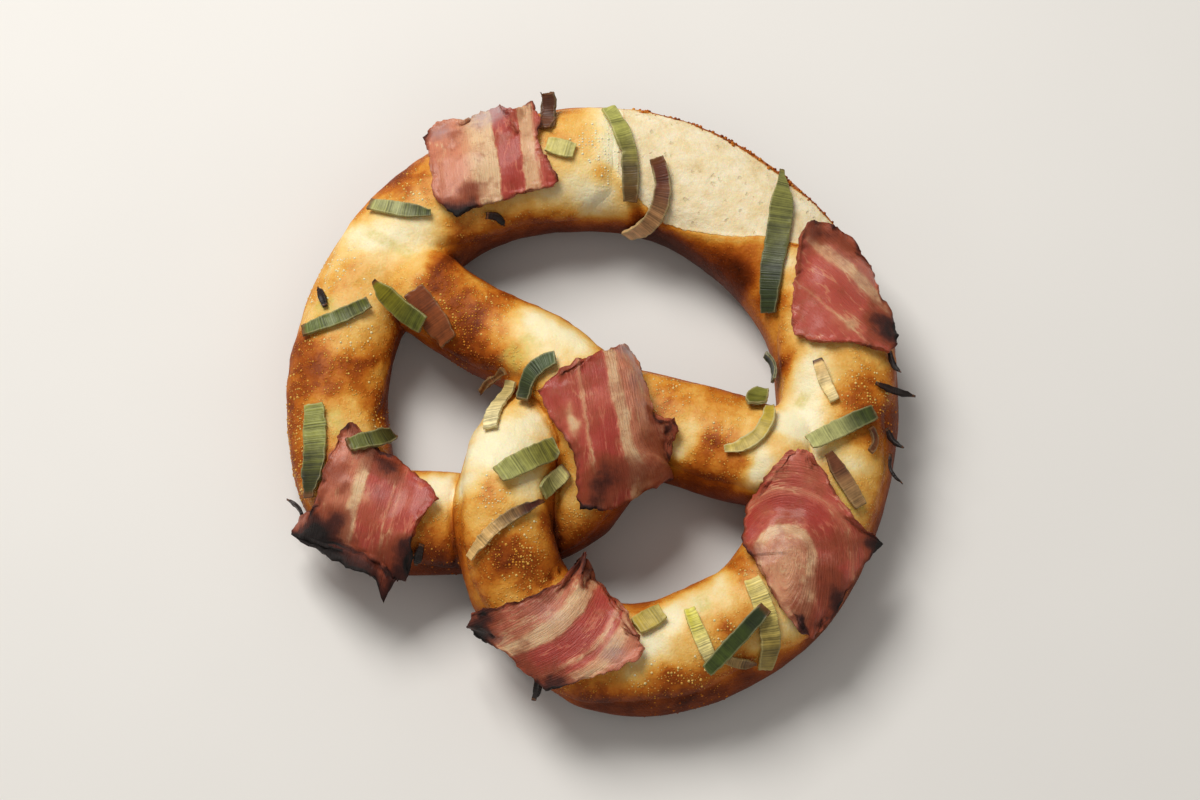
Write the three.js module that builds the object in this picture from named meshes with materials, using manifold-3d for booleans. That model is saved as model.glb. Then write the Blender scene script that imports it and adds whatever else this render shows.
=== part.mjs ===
// A baked pretzel topped in the manner of a tarte flambee: one rope of dough, a skin of melted cheese,
// slices of bacon and strips of leek. Millimetres, +Z up, resting on its flat underside at z = 0.
// Angles in degrees are seen from above: 0 points to the right (+X) and 90 to the back (+Y).
import * as THREE from 'three';
import { mergeVertices } from 'three/addons/utils/BufferGeometryUtils.js';
import Module from 'manifold-3d';

const wasm = await Module();
wasm.setup();

const rad = THREE.MathUtils.degToRad;
const { clamp, lerp, smoothstep } = THREE.MathUtils;
const vec = (x, y, z) => new THREE.Vector3(x, y, z);
const WELD = 1e-4; // points closer than this are one

// Dough ring, from the left loop over the back and the right side to the front loop: distance of its
// centre line from the middle, and its width. It is thin at the left and fattest at the belly.
const RING = [
  { angle: 194, radius: 72.4, w: 28 },
  { angle: 172, radius: 72.9, w: 28.4 },
  { angle: 148, radius: 74.2, w: 29.5 },
  { angle: 122, radius: 74.6, w: 32 },
  { angle: 96, radius: 73.2, w: 35 },
  { angle: 70, radius: 72.2, w: 36 },
  { angle: 45, radius: 70.2, w: 34.8 },
  { angle: 20, radius: 68.8, w: 34 },
  { angle: -4, radius: 67.6, w: 34 },
  { angle: -27, radius: 69.8, w: 33 },
  { angle: -50, radius: 73.8, w: 32 },
  { angle: -72, radius: 74.2, w: 31.5 },
  { angle: -88, radius: 71.6, w: 30.5 },
];
const HEIGHT_SHARE = 0.84; // height of the ring for its width
const FOOT_DEPTH = 1.2; // how far the round underside is pressed flat by the baking tray

// The two arms, from the ring to the tip: place of the centre line, width and height.
// The front arm crosses over the left one, then ducks under it; both tips lie on the ring.
const LEFT_ARM = [
  { x: -66.6, y: -26.8, z: 12.0, w: 28, h: 26 },
  { x: -57.4, y: -32.4, z: 12.0, w: 28.5, h: 26 },
  { x: -43.9, y: -32.8, z: 11.6, w: 28.5, h: 25 },
  { x: -29.9, y: -32.4, z: 10.4, w: 26, h: 22 },
  { x: -15.9, y: -31.4, z: 10.6, w: 25, h: 22 },
  { x: -3.2, y: -25.6, z: 15.5, w: 25, h: 23 },
  { x: 1.6, y: -15.2, z: 22.5, w: 25, h: 23 },
  { x: -2.4, y: -1.6, z: 24.6, w: 25, h: 22 },
  { x: -13.8, y: 11.0, z: 21.6, w: 25, h: 22 },
  { x: -28.6, y: 20.6, z: 16.6, w: 24, h: 22 },
  { x: -42.6, y: 30.2, z: 16.4, w: 23.5, h: 22 },
  { x: -56.5, y: 41.6, z: 20.0, w: 23, h: 20 },
];
const FRONT_ARM = [
  { x: -9.8, y: -64.8, z: 12.6, w: 29, h: 27 },
  { x: -20.8, y: -54.2, z: 15.5, w: 27, h: 25 },
  { x: -24.6, y: -41.6, z: 22.6, w: 26, h: 23 },
  { x: -24.8, y: -27.2, z: 24.4, w: 26, h: 22 },
  { x: -19.4, y: -11.8, z: 19.8, w: 26, h: 22 },
  { x: -5.6, y: -0.8, z: 12.4, w: 27, h: 22 },
  { x: 9.8, y: -1.8, z: 10.8, w: 28.5, h: 22 },
  { x: 24.6, y: -6.6, z: 11.8, w: 29.5, h: 24 },
  { x: 40.0, y: -13.0, z: 14.4, w: 29.5, h: 24 },
  { x: 52.0, y: -16.6, z: 18.6, w: 27, h: 22 },
  { x: 63.0, y: -18.4, z: 20.6, w: 24, h: 20 },
];
const TIP_ROUNDING = 11; // length over which a tip rounds off
const TIP_BLUNTNESS = 0.3; // width left at the very end

// Section of the dough.
const SECTION_SIDES = 22;
const STATION_STEP = 7.2; // length of dough between two sections
const SQUARENESS = 2.25; // exponent of the rounded section: 2 is an ellipse
const LUMP = 0.45; // how far the hand-rolled surface swells and dips
const LUMP_SHORT = 9.1; // length of rope over which the close lumps come and go
const LUMP_LONG = 14.3;
const LUMP_LEAD = 1.7; // how far the long lumps run ahead of the close ones

// The belly has burst open along the back right and shows its crumb.
const BURST = { from: 31, to: 83, inner: -44, outer: 62, depth: 1.1 };
const BURST_CORNERS = 2.6; // exponent of its outline: 2 is an oval
const BURST_SLOPE = 0.7; // share of the way out at which its floor starts to rise

// Melted cheese: a skin on the upper side of the dough, with a wandering edge.
const CHEESE_GAP = 0.3;
const CHEESE_THICKNESS = 1.0;
const CHEESE_SPREAD = 52; // how far it runs down either side, in degrees from the top
const CHEESE_WANDER = 13;
const CHEESE_WAVE = { long: 11, short: 5.3, share: 0.6, lead: 2.1, right: 0.4, left: 2.9 };
const CHEESE_SIDES = 5;
const CHEESE_STEP = 8.6; // length of dough between two sections of the skin
const CHEESE_INSET = 2.7; // length of dough left bare at each tip
const CHEESE_ROOT = 0.6; // depth of the rough skin that the dough is cut from
const BURST_MARGIN = 1.5; // degrees of ring left bare at each end of the burst
const BURST_TAPER = 11; // degrees of ring over which the skin narrows towards the burst
const BURST_NARROWING = 0.6; // share of the skin's spread left beside the burst

// Slices lie on the dressed dough.
const REST_GAP = 0.45; // clearance under a slice
const SAME_STRAND = 45; // length of rope within which two stretches count as one strand
const STRETCH_REACH = 30; // no part of a stretch is farther than this from its first station
const BRIDGE = 5; // how softly a slice bridges the crease between two strands
const COAT_FADE = [-20, -4]; // degrees past the skin's edge over which its thickness fades
const PROBE = 0.4; // half the span over which a slope is measured
const SETTLE_STEPS = 5;
const DROP = { from: 60, steps: 60, share: 0.8 };

// Bacon: place of the middle, heading of its fibres, length along them, lift of the start and end edges,
// reach to the left and to the right of that heading at nine places from start to end, how far the start and
// end edges are pushed on at nine places from right to left, and curled tips at a share of length and width.
const BACON_THICKNESS = 1.2;
const BACON_GRID = 8;
const BACON_RIPPLE = 0.8; // height of the frill along its edge
const TIP_SIZE = 0.24; // spread of a curled tip, as a share of the slice
const FRILL = { along: 11, across: 14 }; // how quickly the frill rises and falls
const EDGE_SNAP = 4; // exponent by which lift gathers at the very edge
const SLIDE_SNAP = 2; // exponent by which the uneven start and end edges fade into the slice
const BACON_SLICES = [
  {
    name: 'bacon_1', x: -29, y: 71.6, heading: -83, length: 31.5, edges: [2.4, 0.3],
    left: [12.4, 14.1, 14.1, 13.5, 13.3, 13.6, 15.7, 16.7, 17.5],
    right: [14.6, 19.1, 18.9, 17.9, 18, 18.1, 18.2, 17.5, 12.2],
    start: [0.9, 1, 1.1, -5.9, -3.5, -3.8, 5.4, 5.7, 1.9],
    end: [1.7, 0.4, -0.8, -0.7, -1.2, -2.1, -3, -3.9, -4.5],
    tips: [{ u: 0, v: 0, lift: 1.8 }, { u: 0, v: 0.8, lift: 2.2 }, { u: 1, v: 0, lift: 1 }],
  },
  {
    name: 'bacon_2', x: -63.3, y: -32.9, heading: -73, length: 45, edges: [0.6, 3.6],
    left: [4.7, 6.7, 14.8, 15.2, 18.8, 19.4, 10.3, 7.7, 1.7],
    right: [2.3, 6.9, 9.9, 15.8, 27.3, 24.8, 9.5, 3.8, 1.5],
    start: [1.7, 0.8, -0.4, -1.2, -1.6, -2.6, -3.4, -3.2, -0.7],
    end: [-2.3, -2.6, -2.7, -2.3, -1.2, -1.4, -1.2, 0.1, -0.3],
    tips: [{ u: 0.78, v: 0, lift: 6 }, { u: 0.5, v: 1, lift: 1.4 }],
  },
  {
    name: 'bacon_3', x: 68.1, y: 30.6, heading: -80, length: 35, edges: [2, 0.3],
    left: [6, 7.4, 12.4, 13.4, 11.7, 12.5, 15.1, 14, 13],
    right: [7.8, 8.2, 10.3, 12.1, 13, 14.1, 14.8, 15.3, 12.7],
    start: [0.2, -3.1, -3.6, -3.8, -3.5, -2.2, -0.1, -0.2, 1],
    end: [-3.8, -2.9, -2, -1.5, -1, 0.2, 2, 3.3, 0],
    tips: [{ u: 0, v: 0, lift: 1.8 }, { u: 1, v: 1, lift: 2 }, { u: 0.3, v: 1, lift: 1.2 }],
  },
  {
    name: 'bacon_4', x: 2.2, y: -13.8, heading: -80, length: 44, edges: [0.8, 0.4], base: 1,
    left: [19.5, 19.9, 21, 21.2, 20.6, 27.2, 30.2, 30.2, 25.9],
    right: [4.1, 14.8, 14.1, 12.3, 9.9, 8.4, 9, 10.1, 9.4],
    start: [2.4, 1.9, 1.5, 1.5, 1.1, -1.1, -4.2, -7.3, -7.5],
    end: [0.4, 0.3, 0.6, 0.6, -0.4, -2.3, -0.7, 3.4, -1.1],
    tips: [{ u: 0.2, v: 0, lift: 2.4 }, { u: 0, v: 1, lift: 2 }, { u: 0.9, v: 0.9, lift: 1.6 }],
  },
  {
    name: 'bacon_5', x: -10.9, y: -70.1, heading: -7, length: 46, edges: [1.8, 1], base: 0.3,
    left: [3.5, 6, 8.3, 11, 15.1, 23.8, 34, 9.5, 2],
    right: [6.3, 5.9, 6.8, 10.3, 14.5, 12, 9.7, 7.3, 4.3],
    start: [-1.3, -5.6, -4.2, -2.1, -1.1, -1.4, -1.3, -0.8, 0.5],
    end: [0.3, 0.8, 1.1, 1.5, 0.8, 0.4, 0.1, -0.4, -1],
    tips: [{ u: 0, v: 0.5, lift: 1.6 }, { u: 0.5, v: 0, lift: 1.8 }, { u: 0.75, v: 1, lift: 2.4 }],
  },
  {
    name: 'bacon_6', x: 58, y: -43.5, heading: -87, length: 50, edges: [1.2, 0.8],
    left: [2.2, 5.7, 8.6, 12.3, 21.1, 14.6, 12.1, 8.2, 2.6],
    right: [2.9, 10.8, 18.5, 17.8, 17.9, 13.5, 11.8, 8.5, 3],
    start: [0.1, -0.7, -1.1, -0.6, -0.2, -0.1, 0.1, 0.5, 0.8],
    end: [0, 0.4, 0.7, 1, 1.2, 1.2, 1.3, 0.6, -0.4],
    tips: [{ u: 0.5, v: 1, lift: 2.4 }, { u: 0.5, v: 0, lift: 1.2 }],
  },
];

// Leek and its burnt scraps: place of the middle, heading, length, width and turn of each strip from start to
// end, how high it lies on what is under it, and the lift of its two ends.
const LEEK_THICKNESS = 0.8;
const LEEK_ROW = 2.7; // length of strip between two rows of points
const LEEK_CUP = 0.25; // how far the long edges of a strip curl up
const STRIP_TAPER = 0.2; // how much narrower a strip is at its ends
const TAPER_SNAP = 3; // exponent by which that gathers at the ends
const GREEN_STRIPS = [
  { name: 'leek_01', x: -55.4, y: 55.7, heading: -13, length: 18.5, width: 4.2, turn: 11, ends: [0.5, 0.2] },
  { name: 'leek_02', x: -72.5, y: 23.2, heading: 21, length: 20.6, width: 4.2, turn: 19, ends: [0.4, 0.6] },
  {
    name: 'leek_03', x: -54.9, y: 26.6, heading: -46, length: 18.2, width: 5.6, turn: 18, base: 1.5,
    ends: [1.8, 0.6],
  },
  { name: 'leek_04', x: -77.8, y: -15.3, heading: -93, length: 27, width: 6.7, turn: -12, ends: [0.3, 1] },
  {
    name: 'leek_05', x: -62.6, y: -13.3, heading: 27, length: 13, width: 5.6, turn: 10, base: 2.5,
    ends: [0.4, 1.2],
  },
  { name: 'leek_06', x: -18.2, y: 3.6, heading: 45, length: 17.1, width: 5, turn: -71, ends: [1, 1.4] },
  { name: 'leek_07', x: -27.4, y: -4.1, heading: 82, length: 19, width: 4.8, turn: -40, ends: [0.2, 0.2] },
  {
    name: 'leek_09', x: -18.2, y: -22.4, heading: 33, length: 20.5, width: 6.2, turn: 2, base: 1.4,
    ends: [0.4, 0.4],
  },
  { name: 'leek_10', x: -12, y: -26.6, heading: 32, length: 12.4, width: 5.4, turn: -11, ends: [0, 0.2] },
  { name: 'leek_12', x: -10, y: 72.8, heading: -15, length: 8.2, width: 5, ends: [0, 0] },
  { name: 'leek_13', x: 9, y: 72.4, heading: -78, length: 30, width: 5, turn: -34, ends: [0.2, 0.4] },
  { name: 'leek_15', x: 51, y: 47, heading: -99, length: 45.8, width: 6.7, turn: -12, ends: [1.4, 0.4] },
  { name: 'leek_17', x: 44.9, y: -13.2, heading: 46, length: 21, width: 4.2, turn: 92, ends: [0.2, 0.8] },
  { name: 'leek_18', x: 44.6, y: 0.4, heading: 75, length: 10.4, width: 6.2, turn: -30, ends: [1, 2.4] },
  { name: 'leek_19', x: 50, y: 10.7, heading: 92, length: 8.2, width: 4.2, turn: -9, ends: [1, 2.2] },
  { name: 'leek_20', x: 67.5, y: -11.1, heading: 29, length: 21, width: 5, base: 0.8, ends: [0.3, 0.5] },
  { name: 'leek_21', x: 63.4, y: 3.2, heading: -69, length: 13, width: 3.4, turn: 11, ends: [0.6, 0] },
  { name: 'leek_24', x: 14.6, y: -64.9, heading: 31, length: 8.5, width: 6.2, ends: [0.2, 0.2] },
  { name: 'leek_25', x: 28.3, y: -69.9, heading: -68, length: 16.5, width: 3.9, turn: 5, ends: [0.2, 0.2] },
  { name: 'leek_26', x: 38.1, y: -71, heading: 47, length: 23.4, width: 4.2, base: 1.5, ends: [0.2, 0.6] },
  { name: 'leek_27', x: 47, y: -66.8, heading: -76, length: 27.6, width: 5.6, turn: -21, ends: [0.2, 0.4] },
];
const BROWN_STRIPS = [
  { name: 'leek_08', x: -26.4, y: 6.2, heading: 215, length: 9, width: 3, base: 1.6, ends: [0.4, 4] },
  { name: 'leek_11', x: -25.5, y: -40.5, heading: 37, length: 27, width: 3.4, turn: -28, ends: [0.6, 0.8] },
  { name: 'leek_14', x: 17.6, y: 55.6, heading: -117, length: 31, width: 5, turn: -84, ends: [1.6, 0.8] },
  { name: 'leek_16', x: -13.6, y: 83.1, heading: 80, length: 9, width: 4.5, ends: [0.4, 5] },
  { name: 'leek_22', x: 68.3, y: -25.7, heading: -56, length: 17.3, width: 4.5, ends: [0.8, 0.3] },
  { name: 'leek_23', x: 77.3, y: -13.8, heading: -90, length: 7.9, width: 2, turn: -80, ends: [0.6, 0.6] },
  { name: 'leek_28', x: 39, y: -77, heading: -24, length: 10.6, width: 2.8, turn: 15, ends: [0.5, 0.8] },
  { name: 'leek_29', x: -46, y: 23, heading: -60, length: 17.6, width: 7.3, ends: [0.4, 0.2] },
  { name: 'char_01', x: 82.4, y: 10.2, heading: -77, length: 7, width: 1.6, ends: [0, 2.6] },
  { name: 'char_02', x: 81.2, y: 2, heading: -12, length: 9, width: 1.8, ends: [0, 5.5] },
  { name: 'char_03', x: 81.6, y: -11.4, heading: -40, length: 6.2, width: 1.8, ends: [0, 3] },
  { name: 'char_04', x: 81.2, y: -19.8, heading: -60, length: 8, width: 1.5, ends: [0, 4.2] },
  { name: 'char_05', x: -82.4, y: -28, heading: 172, length: 7.4, width: 2.2, ends: [0.4, 2.4] },
  { name: 'char_06', x: -27.7, y: 54, heading: -38, length: 6.6, width: 2.2, turn: -60, ends: [0.6, 0.6] },
  { name: 'char_07', x: -48.6, y: -45.4, heading: -100, length: 6.8, width: 2.2, ends: [0.6, 0.4] },
  { name: 'char_08', x: -76.7, y: 30.2, heading: -68, length: 6.7, width: 2, ends: [1, 0] },
  { name: 'char_09', x: -15.6, y: -79.8, heading: -112, length: 7, width: 2.2, ends: [0.4, 4.5] },
];

const DOUGH = new THREE.MeshStandardMaterial({ color: 0xa8642a, roughness: 0.5, metalness: 0 });
const CHEESE = new THREE.MeshStandardMaterial({ color: 0xe9cf8d, roughness: 0.45, metalness: 0 });
const BACON = new THREE.MeshStandardMaterial({ color: 0xb2574c, roughness: 0.4, metalness: 0 });
const LEEK = new THREE.MeshStandardMaterial({ color: 0x7d8a3c, roughness: 0.55, metalness: 0 });
const BROWNED = new THREE.MeshStandardMaterial({ color: 0x6b4020, roughness: 0.6, metalness: 0 });

// Solids

function geometryOf(positions, triangles) {
  const geometry = new THREE.BufferGeometry();
  geometry.setAttribute('position', new THREE.Float32BufferAttribute(positions, 3));
  geometry.setIndex(triangles);
  return geometry;
}

// A closed tube through rings of points, each end closed by a fan.
function tube(rings) {
  const sides = rings[0].length;
  const positions = rings.flat().flatMap((p) => p.toArray());
  const triangles = [];
  for (let i = 0; i + 1 < rings.length; i++) {
    for (let k = 0; k < sides; k++) {
      const a = i * sides + k;
      const b = i * sides + (k + 1) % sides;
      triangles.push(a, b, b + sides, a, b + sides, a + sides);
    }
  }
  for (const turned of [false, true]) {
    const ring = turned ? rings.at(-1) : rings[0];
    const start = turned ? (rings.length - 1) * sides : 0;
    const middle = ring.reduce((sum, p) => sum.add(p), vec(0, 0, 0)).divideScalar(sides);
    const hub = positions.length / 3;
    positions.push(...middle.toArray());
    for (let k = 0; k < sides; k++) {
      const a = start + k;
      const b = start + (k + 1) % sides;
      triangles.push(...(turned ? [hub, a, b] : [hub, b, a]));
    }
  }
  return geometryOf(positions, triangles);
}

// A thin closed solid between two grids of points, both split into triangles alike.
function sheet(top, bottom) {
  const rows = top.length;
  const columns = top[0].length;
  const edge = columns - 1;
  const positions = [...top.flat(), ...bottom.flat()].flatMap((p) => p.toArray());
  const triangles = [];
  const upper = (i, j) => i * columns + j;
  const lower = (i, j) => rows * columns + i * columns + j;
  const quad = (a, b, c, d) => triangles.push(a, b, c, a, c, d);
  for (let i = 0; i + 1 < rows; i++) {
    for (let j = 0; j + 1 < columns; j++) {
      quad(upper(i, j), upper(i + 1, j), upper(i + 1, j + 1), upper(i, j + 1));
      quad(lower(i, j), lower(i, j + 1), lower(i + 1, j + 1), lower(i + 1, j));
    }
    quad(upper(i + 1, 0), upper(i, 0), lower(i, 0), lower(i + 1, 0));
    quad(upper(i, edge), upper(i + 1, edge), lower(i + 1, edge), lower(i, edge));
  }
  for (let j = 0; j + 1 < columns; j++) {
    quad(upper(0, j), upper(0, j + 1), lower(0, j + 1), lower(0, j));
    quad(upper(rows - 1, j), lower(rows - 1, j), lower(rows - 1, j + 1), upper(rows - 1, j + 1));
  }
  return geometryOf(positions, triangles);
}

function solidOf(geometry) {
  const merged = mergeVertices(geometry, WELD);
  return new wasm.Manifold(new wasm.Mesh({
    numProp: 3,
    vertProperties: new Float32Array(merged.getAttribute('position').array),
    triVerts: new Uint32Array(merged.index.array),
  }));
}

function geometryOfSolid(solid) {
  const made = solid.getMesh();
  return geometryOf(Array.from(made.vertProperties), Array.from(made.triVerts));
}

const joined = (geometries) => geometries.map(solidOf).reduce((sum, next) => sum.add(next));
const largestBody = (solid) => solid.decompose().reduce((a, b) => (b.volume() > a.volume() ? b : a));

// The rope of dough

function ringControl({ angle, radius, w }) {
  const h = w * HEIGHT_SHARE;
  return { x: radius * Math.cos(rad(angle)), y: radius * Math.sin(rad(angle)), z: h / 2 - FOOT_DEPTH, w, h };
}

const CONTROLS = [...LEFT_ARM.toReversed(), ...RING.map(ringControl), ...FRONT_ARM];
const LINE = new THREE.CatmullRomCurve3(CONTROLS.map((c) => vec(c.x, c.y, c.z)));
LINE.arcLengthDivisions = 1200;
const ROPE_LENGTH = LINE.getLength();

// Sizes between two controls, at a share of the curve's own parameter.
function sizeAt(t) {
  const place = t * (CONTROLS.length - 1);
  const i = Math.min(Math.floor(place), CONTROLS.length - 2);
  const f = place - i;
  return { w: lerp(CONTROLS[i].w, CONTROLS[i + 1].w, f), h: lerp(CONTROLS[i].h, CONTROLS[i + 1].h, f) };
}

function station(length) {
  const t = LINE.getUtoTmapping(length / ROPE_LENGTH);
  const along = LINE.getTangent(t).normalize();
  const side = vec(along.y, -along.x, 0).normalize();
  const up = vec(0, 0, 0).crossVectors(side, along);
  const toTip = clamp(Math.min(length, ROPE_LENGTH - length) / TIP_ROUNDING, 0, 1);
  const round = lerp(TIP_BLUNTNESS, 1, Math.sqrt(1 - (1 - toTip) ** 2));
  const { w, h } = sizeAt(t);
  const isRing = t >= LEFT_ARM.length / (CONTROLS.length - 1)
    && t <= (LEFT_ARM.length + RING.length - 1) / (CONTROLS.length - 1);
  return { at: LINE.getPoint(t), along, side, up, length, isRing, a: w / 2 * round, b: h / 2 * round };
}

// Angle round the ring of a place on it, from -90 at the front up to 270.
const ringAngle = (at) => (THREE.MathUtils.radToDeg(Math.atan2(at.y, at.x)) + 450) % 360 - 90;

// How far a place lies inside the burst: 0 at its edge, 1 well within.
function burstAt(st, over) {
  if (!st.isRing) return 0;
  const middle = (BURST.from + BURST.to) / 2;
  const along = (ringAngle(st.at) - middle) / ((BURST.to - BURST.from) / 2);
  const across = (over - (BURST.inner + BURST.outer) / 2) / ((BURST.outer - BURST.inner) / 2);
  const edge = Math.abs(along) ** BURST_CORNERS + Math.abs(across) ** BURST_CORNERS;
  return 1 - smoothstep(edge, BURST_SLOPE, 1);
}

// Tilt of a section angle from the top, in degrees, counted towards the outside of the ring.
// The rope runs clockwise round the ring, so its outside is on the rope's left.
const overOf = (theta) => THREE.MathUtils.radToDeg(theta) - 90;

// Radius of the dough at a section angle: 0 to the rope's right, 90 degrees to the top.
function doughRadius(st, theta) {
  const c = Math.abs(Math.cos(theta) / st.a) ** SQUARENESS;
  const s = Math.abs(Math.sin(theta) / st.b) ** SQUARENESS;
  const close = Math.sin(st.length / LUMP_SHORT + 2 * theta);
  const long = Math.sin(st.length / LUMP_LONG - theta + LUMP_LEAD);
  const lumps = LUMP * (close + long) / 2;
  return (c + s) ** (-1 / SQUARENESS) + lumps - BURST.depth * burstAt(st, overOf(theta));
}

function pointAt(st, theta, radius) {
  const p = st.at.clone();
  p.addScaledVector(st.side, radius * Math.cos(theta)).addScaledVector(st.up, radius * Math.sin(theta));
  return p;
}

// Stations in the three stretches that are rolled apart and joined: left arm, ring and front arm.
function stretches(spacing, inset) {
  const count = Math.round((ROPE_LENGTH - 2 * inset) / spacing);
  const all = [];
  for (let i = 0; i <= count; i++) all.push(station(lerp(inset, ROPE_LENGTH - inset, i / count)));
  const first = all.findIndex((st) => st.isRing);
  const last = all.findLastIndex((st) => st.isRing);
  return { all, left: all.slice(0, first + 1), ring: all.slice(first, last + 1), front: all.slice(last) };
}

const ROPE = stretches(STATION_STEP, 0);

function doughTube(stations, growth) {
  const rings = stations.map((st) => {
    const ring = [];
    for (let k = 0; k < SECTION_SIDES; k++) {
      const theta = 2 * Math.PI * (k + 0.5) / SECTION_SIDES - Math.PI / 2;
      const p = pointAt(st, theta, doughRadius(st, theta) + growth);
      p.z = Math.max(p.z, -growth);
      ring.push(p);
    }
    return ring;
  });
  return tube(rings.map((ring) => ring.toReversed()));
}

const dough = (growth) => joined([ROPE.left, ROPE.ring, ROPE.front].map((s) => doughTube(s, growth)));

// The melted cheese

// Where the skin ends on either side of the rope, in degrees from the top.
function cheeseEdges(st) {
  const { long, short, share, lead } = CHEESE_WAVE;
  const ripple = (phase) => share * Math.sin(st.length / short + lead * phase);
  const wave = (phase) => Math.sin(st.length / long + phase) + ripple(phase);
  const angle = ringAngle(st.at);
  const toBurst = st.isRing ? Math.max(angle - BURST.to, BURST.from - angle) : BURST_TAPER;
  const narrow = lerp(BURST_NARROWING, 1, smoothstep(toBurst, 0, BURST_TAPER));
  return [
    narrow * (-CHEESE_SPREAD - CHEESE_WANDER * wave(CHEESE_WAVE.right)),
    narrow * (CHEESE_SPREAD + CHEESE_WANDER * wave(CHEESE_WAVE.left)),
  ];
}

function hasCheese(st) {
  const angle = ringAngle(st.at);
  return !st.isRing || angle > BURST.to + BURST_MARGIN || angle < BURST.from - BURST_MARGIN;
}

function cheeseBand(stations) {
  const face = (growth) => stations.map((st) => {
    const [right, left] = cheeseEdges(st);
    const row = [];
    for (let k = 0; k <= CHEESE_SIDES; k++) {
      const theta = rad(90 + lerp(right, left, k / CHEESE_SIDES));
      row.push(pointAt(st, theta, doughRadius(st, theta) + growth));
    }
    return row;
  });
  return sheet(face(CHEESE_GAP + CHEESE_THICKNESS), face(-CHEESE_ROOT));
}

function cheese() {
  const { left, ring, front } = stretches(CHEESE_STEP, CHEESE_INSET);
  const before = ring.filter((st) => hasCheese(st) && ringAngle(st.at) > BURST.to);
  const after = ring.filter((st) => hasCheese(st) && ringAngle(st.at) < BURST.from);
  const bands = [left, before, after, front].map(cheeseBand);
  return largestBody(joined(bands).subtract(dough(CHEESE_GAP)));
}

// Laying a slice on the dressed rope

// Thickness of cheese under a place, faded out a little past the skin's edge.
function coatAt(st, theta) {
  const over = overOf(theta);
  const [right, left] = cheeseEdges(st);
  const inside = Math.min(over - right, left - over);
  return hasCheese(st) ? (CHEESE_GAP + CHEESE_THICKNESS) * smoothstep(inside, ...COAT_FADE) : 0;
}

// Distance of a point from one stretch of rope between two stations.
function stretchDistance(p, from, to) {
  const step = to.at.clone().sub(from.at);
  const share = clamp(p.clone().sub(from.at).dot(step) / step.lengthSq(), 0, 1);
  const mid = {
    at: from.at.clone().lerp(to.at, share),
    side: from.side.clone().lerp(to.side, share).normalize(),
    up: from.up.clone().lerp(to.up, share).normalize(),
    length: lerp(from.length, to.length, share),
    isRing: from.isRing && to.isRing,
    a: lerp(from.a, to.a, share),
    b: lerp(from.b, to.b, share),
  };
  const away = p.clone().sub(mid.at);
  const x = away.dot(mid.side);
  const z = away.dot(mid.up);
  const turn = Math.atan2(z, x);
  const theta = turn < -Math.PI / 2 ? turn + 2 * Math.PI : turn;
  return away.length() - doughRadius(mid, theta) - coatAt(mid, theta);
}

// Distance of a point from the dressed pretzel, bridging the creases between strands.
function clearance(p) {
  const found = [];
  let nearest = Infinity;
  for (let i = 0; i + 1 < ROPE.all.length; i++) {
    const from = ROPE.all[i];
    if (p.distanceTo(from.at) - STRETCH_REACH > nearest + BRIDGE) continue;
    const distance = stretchDistance(p, from, ROPE.all[i + 1]);
    nearest = Math.min(nearest, distance);
    found.push({ distance, length: from.length });
  }
  const near = found.find((f) => f.distance === nearest);
  const others = found.filter((f) => Math.abs(f.length - near.length) > SAME_STRAND);
  const other = Math.min(nearest + BRIDGE, ...others.map((f) => f.distance));
  const soft = 1 - (other - nearest) / BRIDGE;
  return nearest - soft * soft * BRIDGE / 4;
}

function normalAt(p) {
  const beside = (axis, span) => clearance(p.clone().addScaledVector(axis, span));
  const slope = (axis) => beside(axis, PROBE) - beside(axis, -PROBE);
  return vec(slope(vec(1, 0, 0)), slope(vec(0, 1, 0)), slope(vec(0, 0, 1))).normalize();
}

function settle(p, height) {
  const q = p.clone();
  for (let k = 0; k < SETTLE_STEPS; k++) q.addScaledVector(normalAt(q), height - clearance(q));
  return q;
}

function dropOnto(x, y, height) {
  const p = vec(x, y, DROP.from);
  for (let k = 0; k < DROP.steps; k++) p.z -= DROP.share * (clearance(p) - height);
  return settle(p, height);
}

// Steps along the surface from a point, turning a little at each step.
function walk(start, direction, steps, turn, height) {
  const path = [];
  let p = start;
  const heading = direction.clone();
  for (const step of steps) {
    const normal = normalAt(p);
    heading.applyAxisAngle(normal, turn).addScaledVector(normal, -heading.dot(normal)).normalize();
    const next = settle(p.clone().addScaledVector(heading, step), height);
    heading.copy(next).sub(p).normalize();
    p = next;
    path.push(p);
  }
  return path;
}

// A grid of points laid over the pretzel. Rows run along the slice and columns across it; trim gives each
// row's reach to either side, slide how far each point is pushed on along the slice, and raise how far it
// stands off.
function lay({ x, y, heading, length, turn = 0, rows, columns, trim, slide, raise, height }) {
  const start = dropOnto(x, y, height);
  const forward = vec(Math.cos(rad(heading)), Math.sin(rad(heading)), 0);
  const half = rows / 2;
  const steps = new Array(half).fill(length / rows);
  const bend = rad(turn) / rows;
  const ahead = walk(start, forward, steps, bend, height);
  const behind = walk(start, forward.clone().negate(), steps, -bend, height);
  const spine = [...behind.toReversed(), start, ...ahead];
  return spine.map((p, i) => {
    const next = spine[Math.min(i + 1, rows)].clone().sub(spine[Math.max(i - 1, 0)]).normalize();
    const across = vec(0, 0, 0).crossVectors(normalAt(p), next);
    const u = i / rows;
    const row = [p];
    for (let k = 1; k <= columns / 2; k++) {
      const share = 2 * k / columns;
      const reach = trim(u);
      const paces = (side) => new Array(k).fill(reach[side] * share / k);
      row.push(walk(p, across, paces(1), 0, height).at(-1));
      row.unshift(walk(p, across.clone().negate(), paces(0), 0, height).at(-1));
    }
    return row.map((q, j) => {
      const [pushed] = walk(q, next, [slide(u, j / columns)], 0, height);
      return pushed.addScaledVector(normalAt(pushed), raise(u, j / columns));
    });
  });
}

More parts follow.
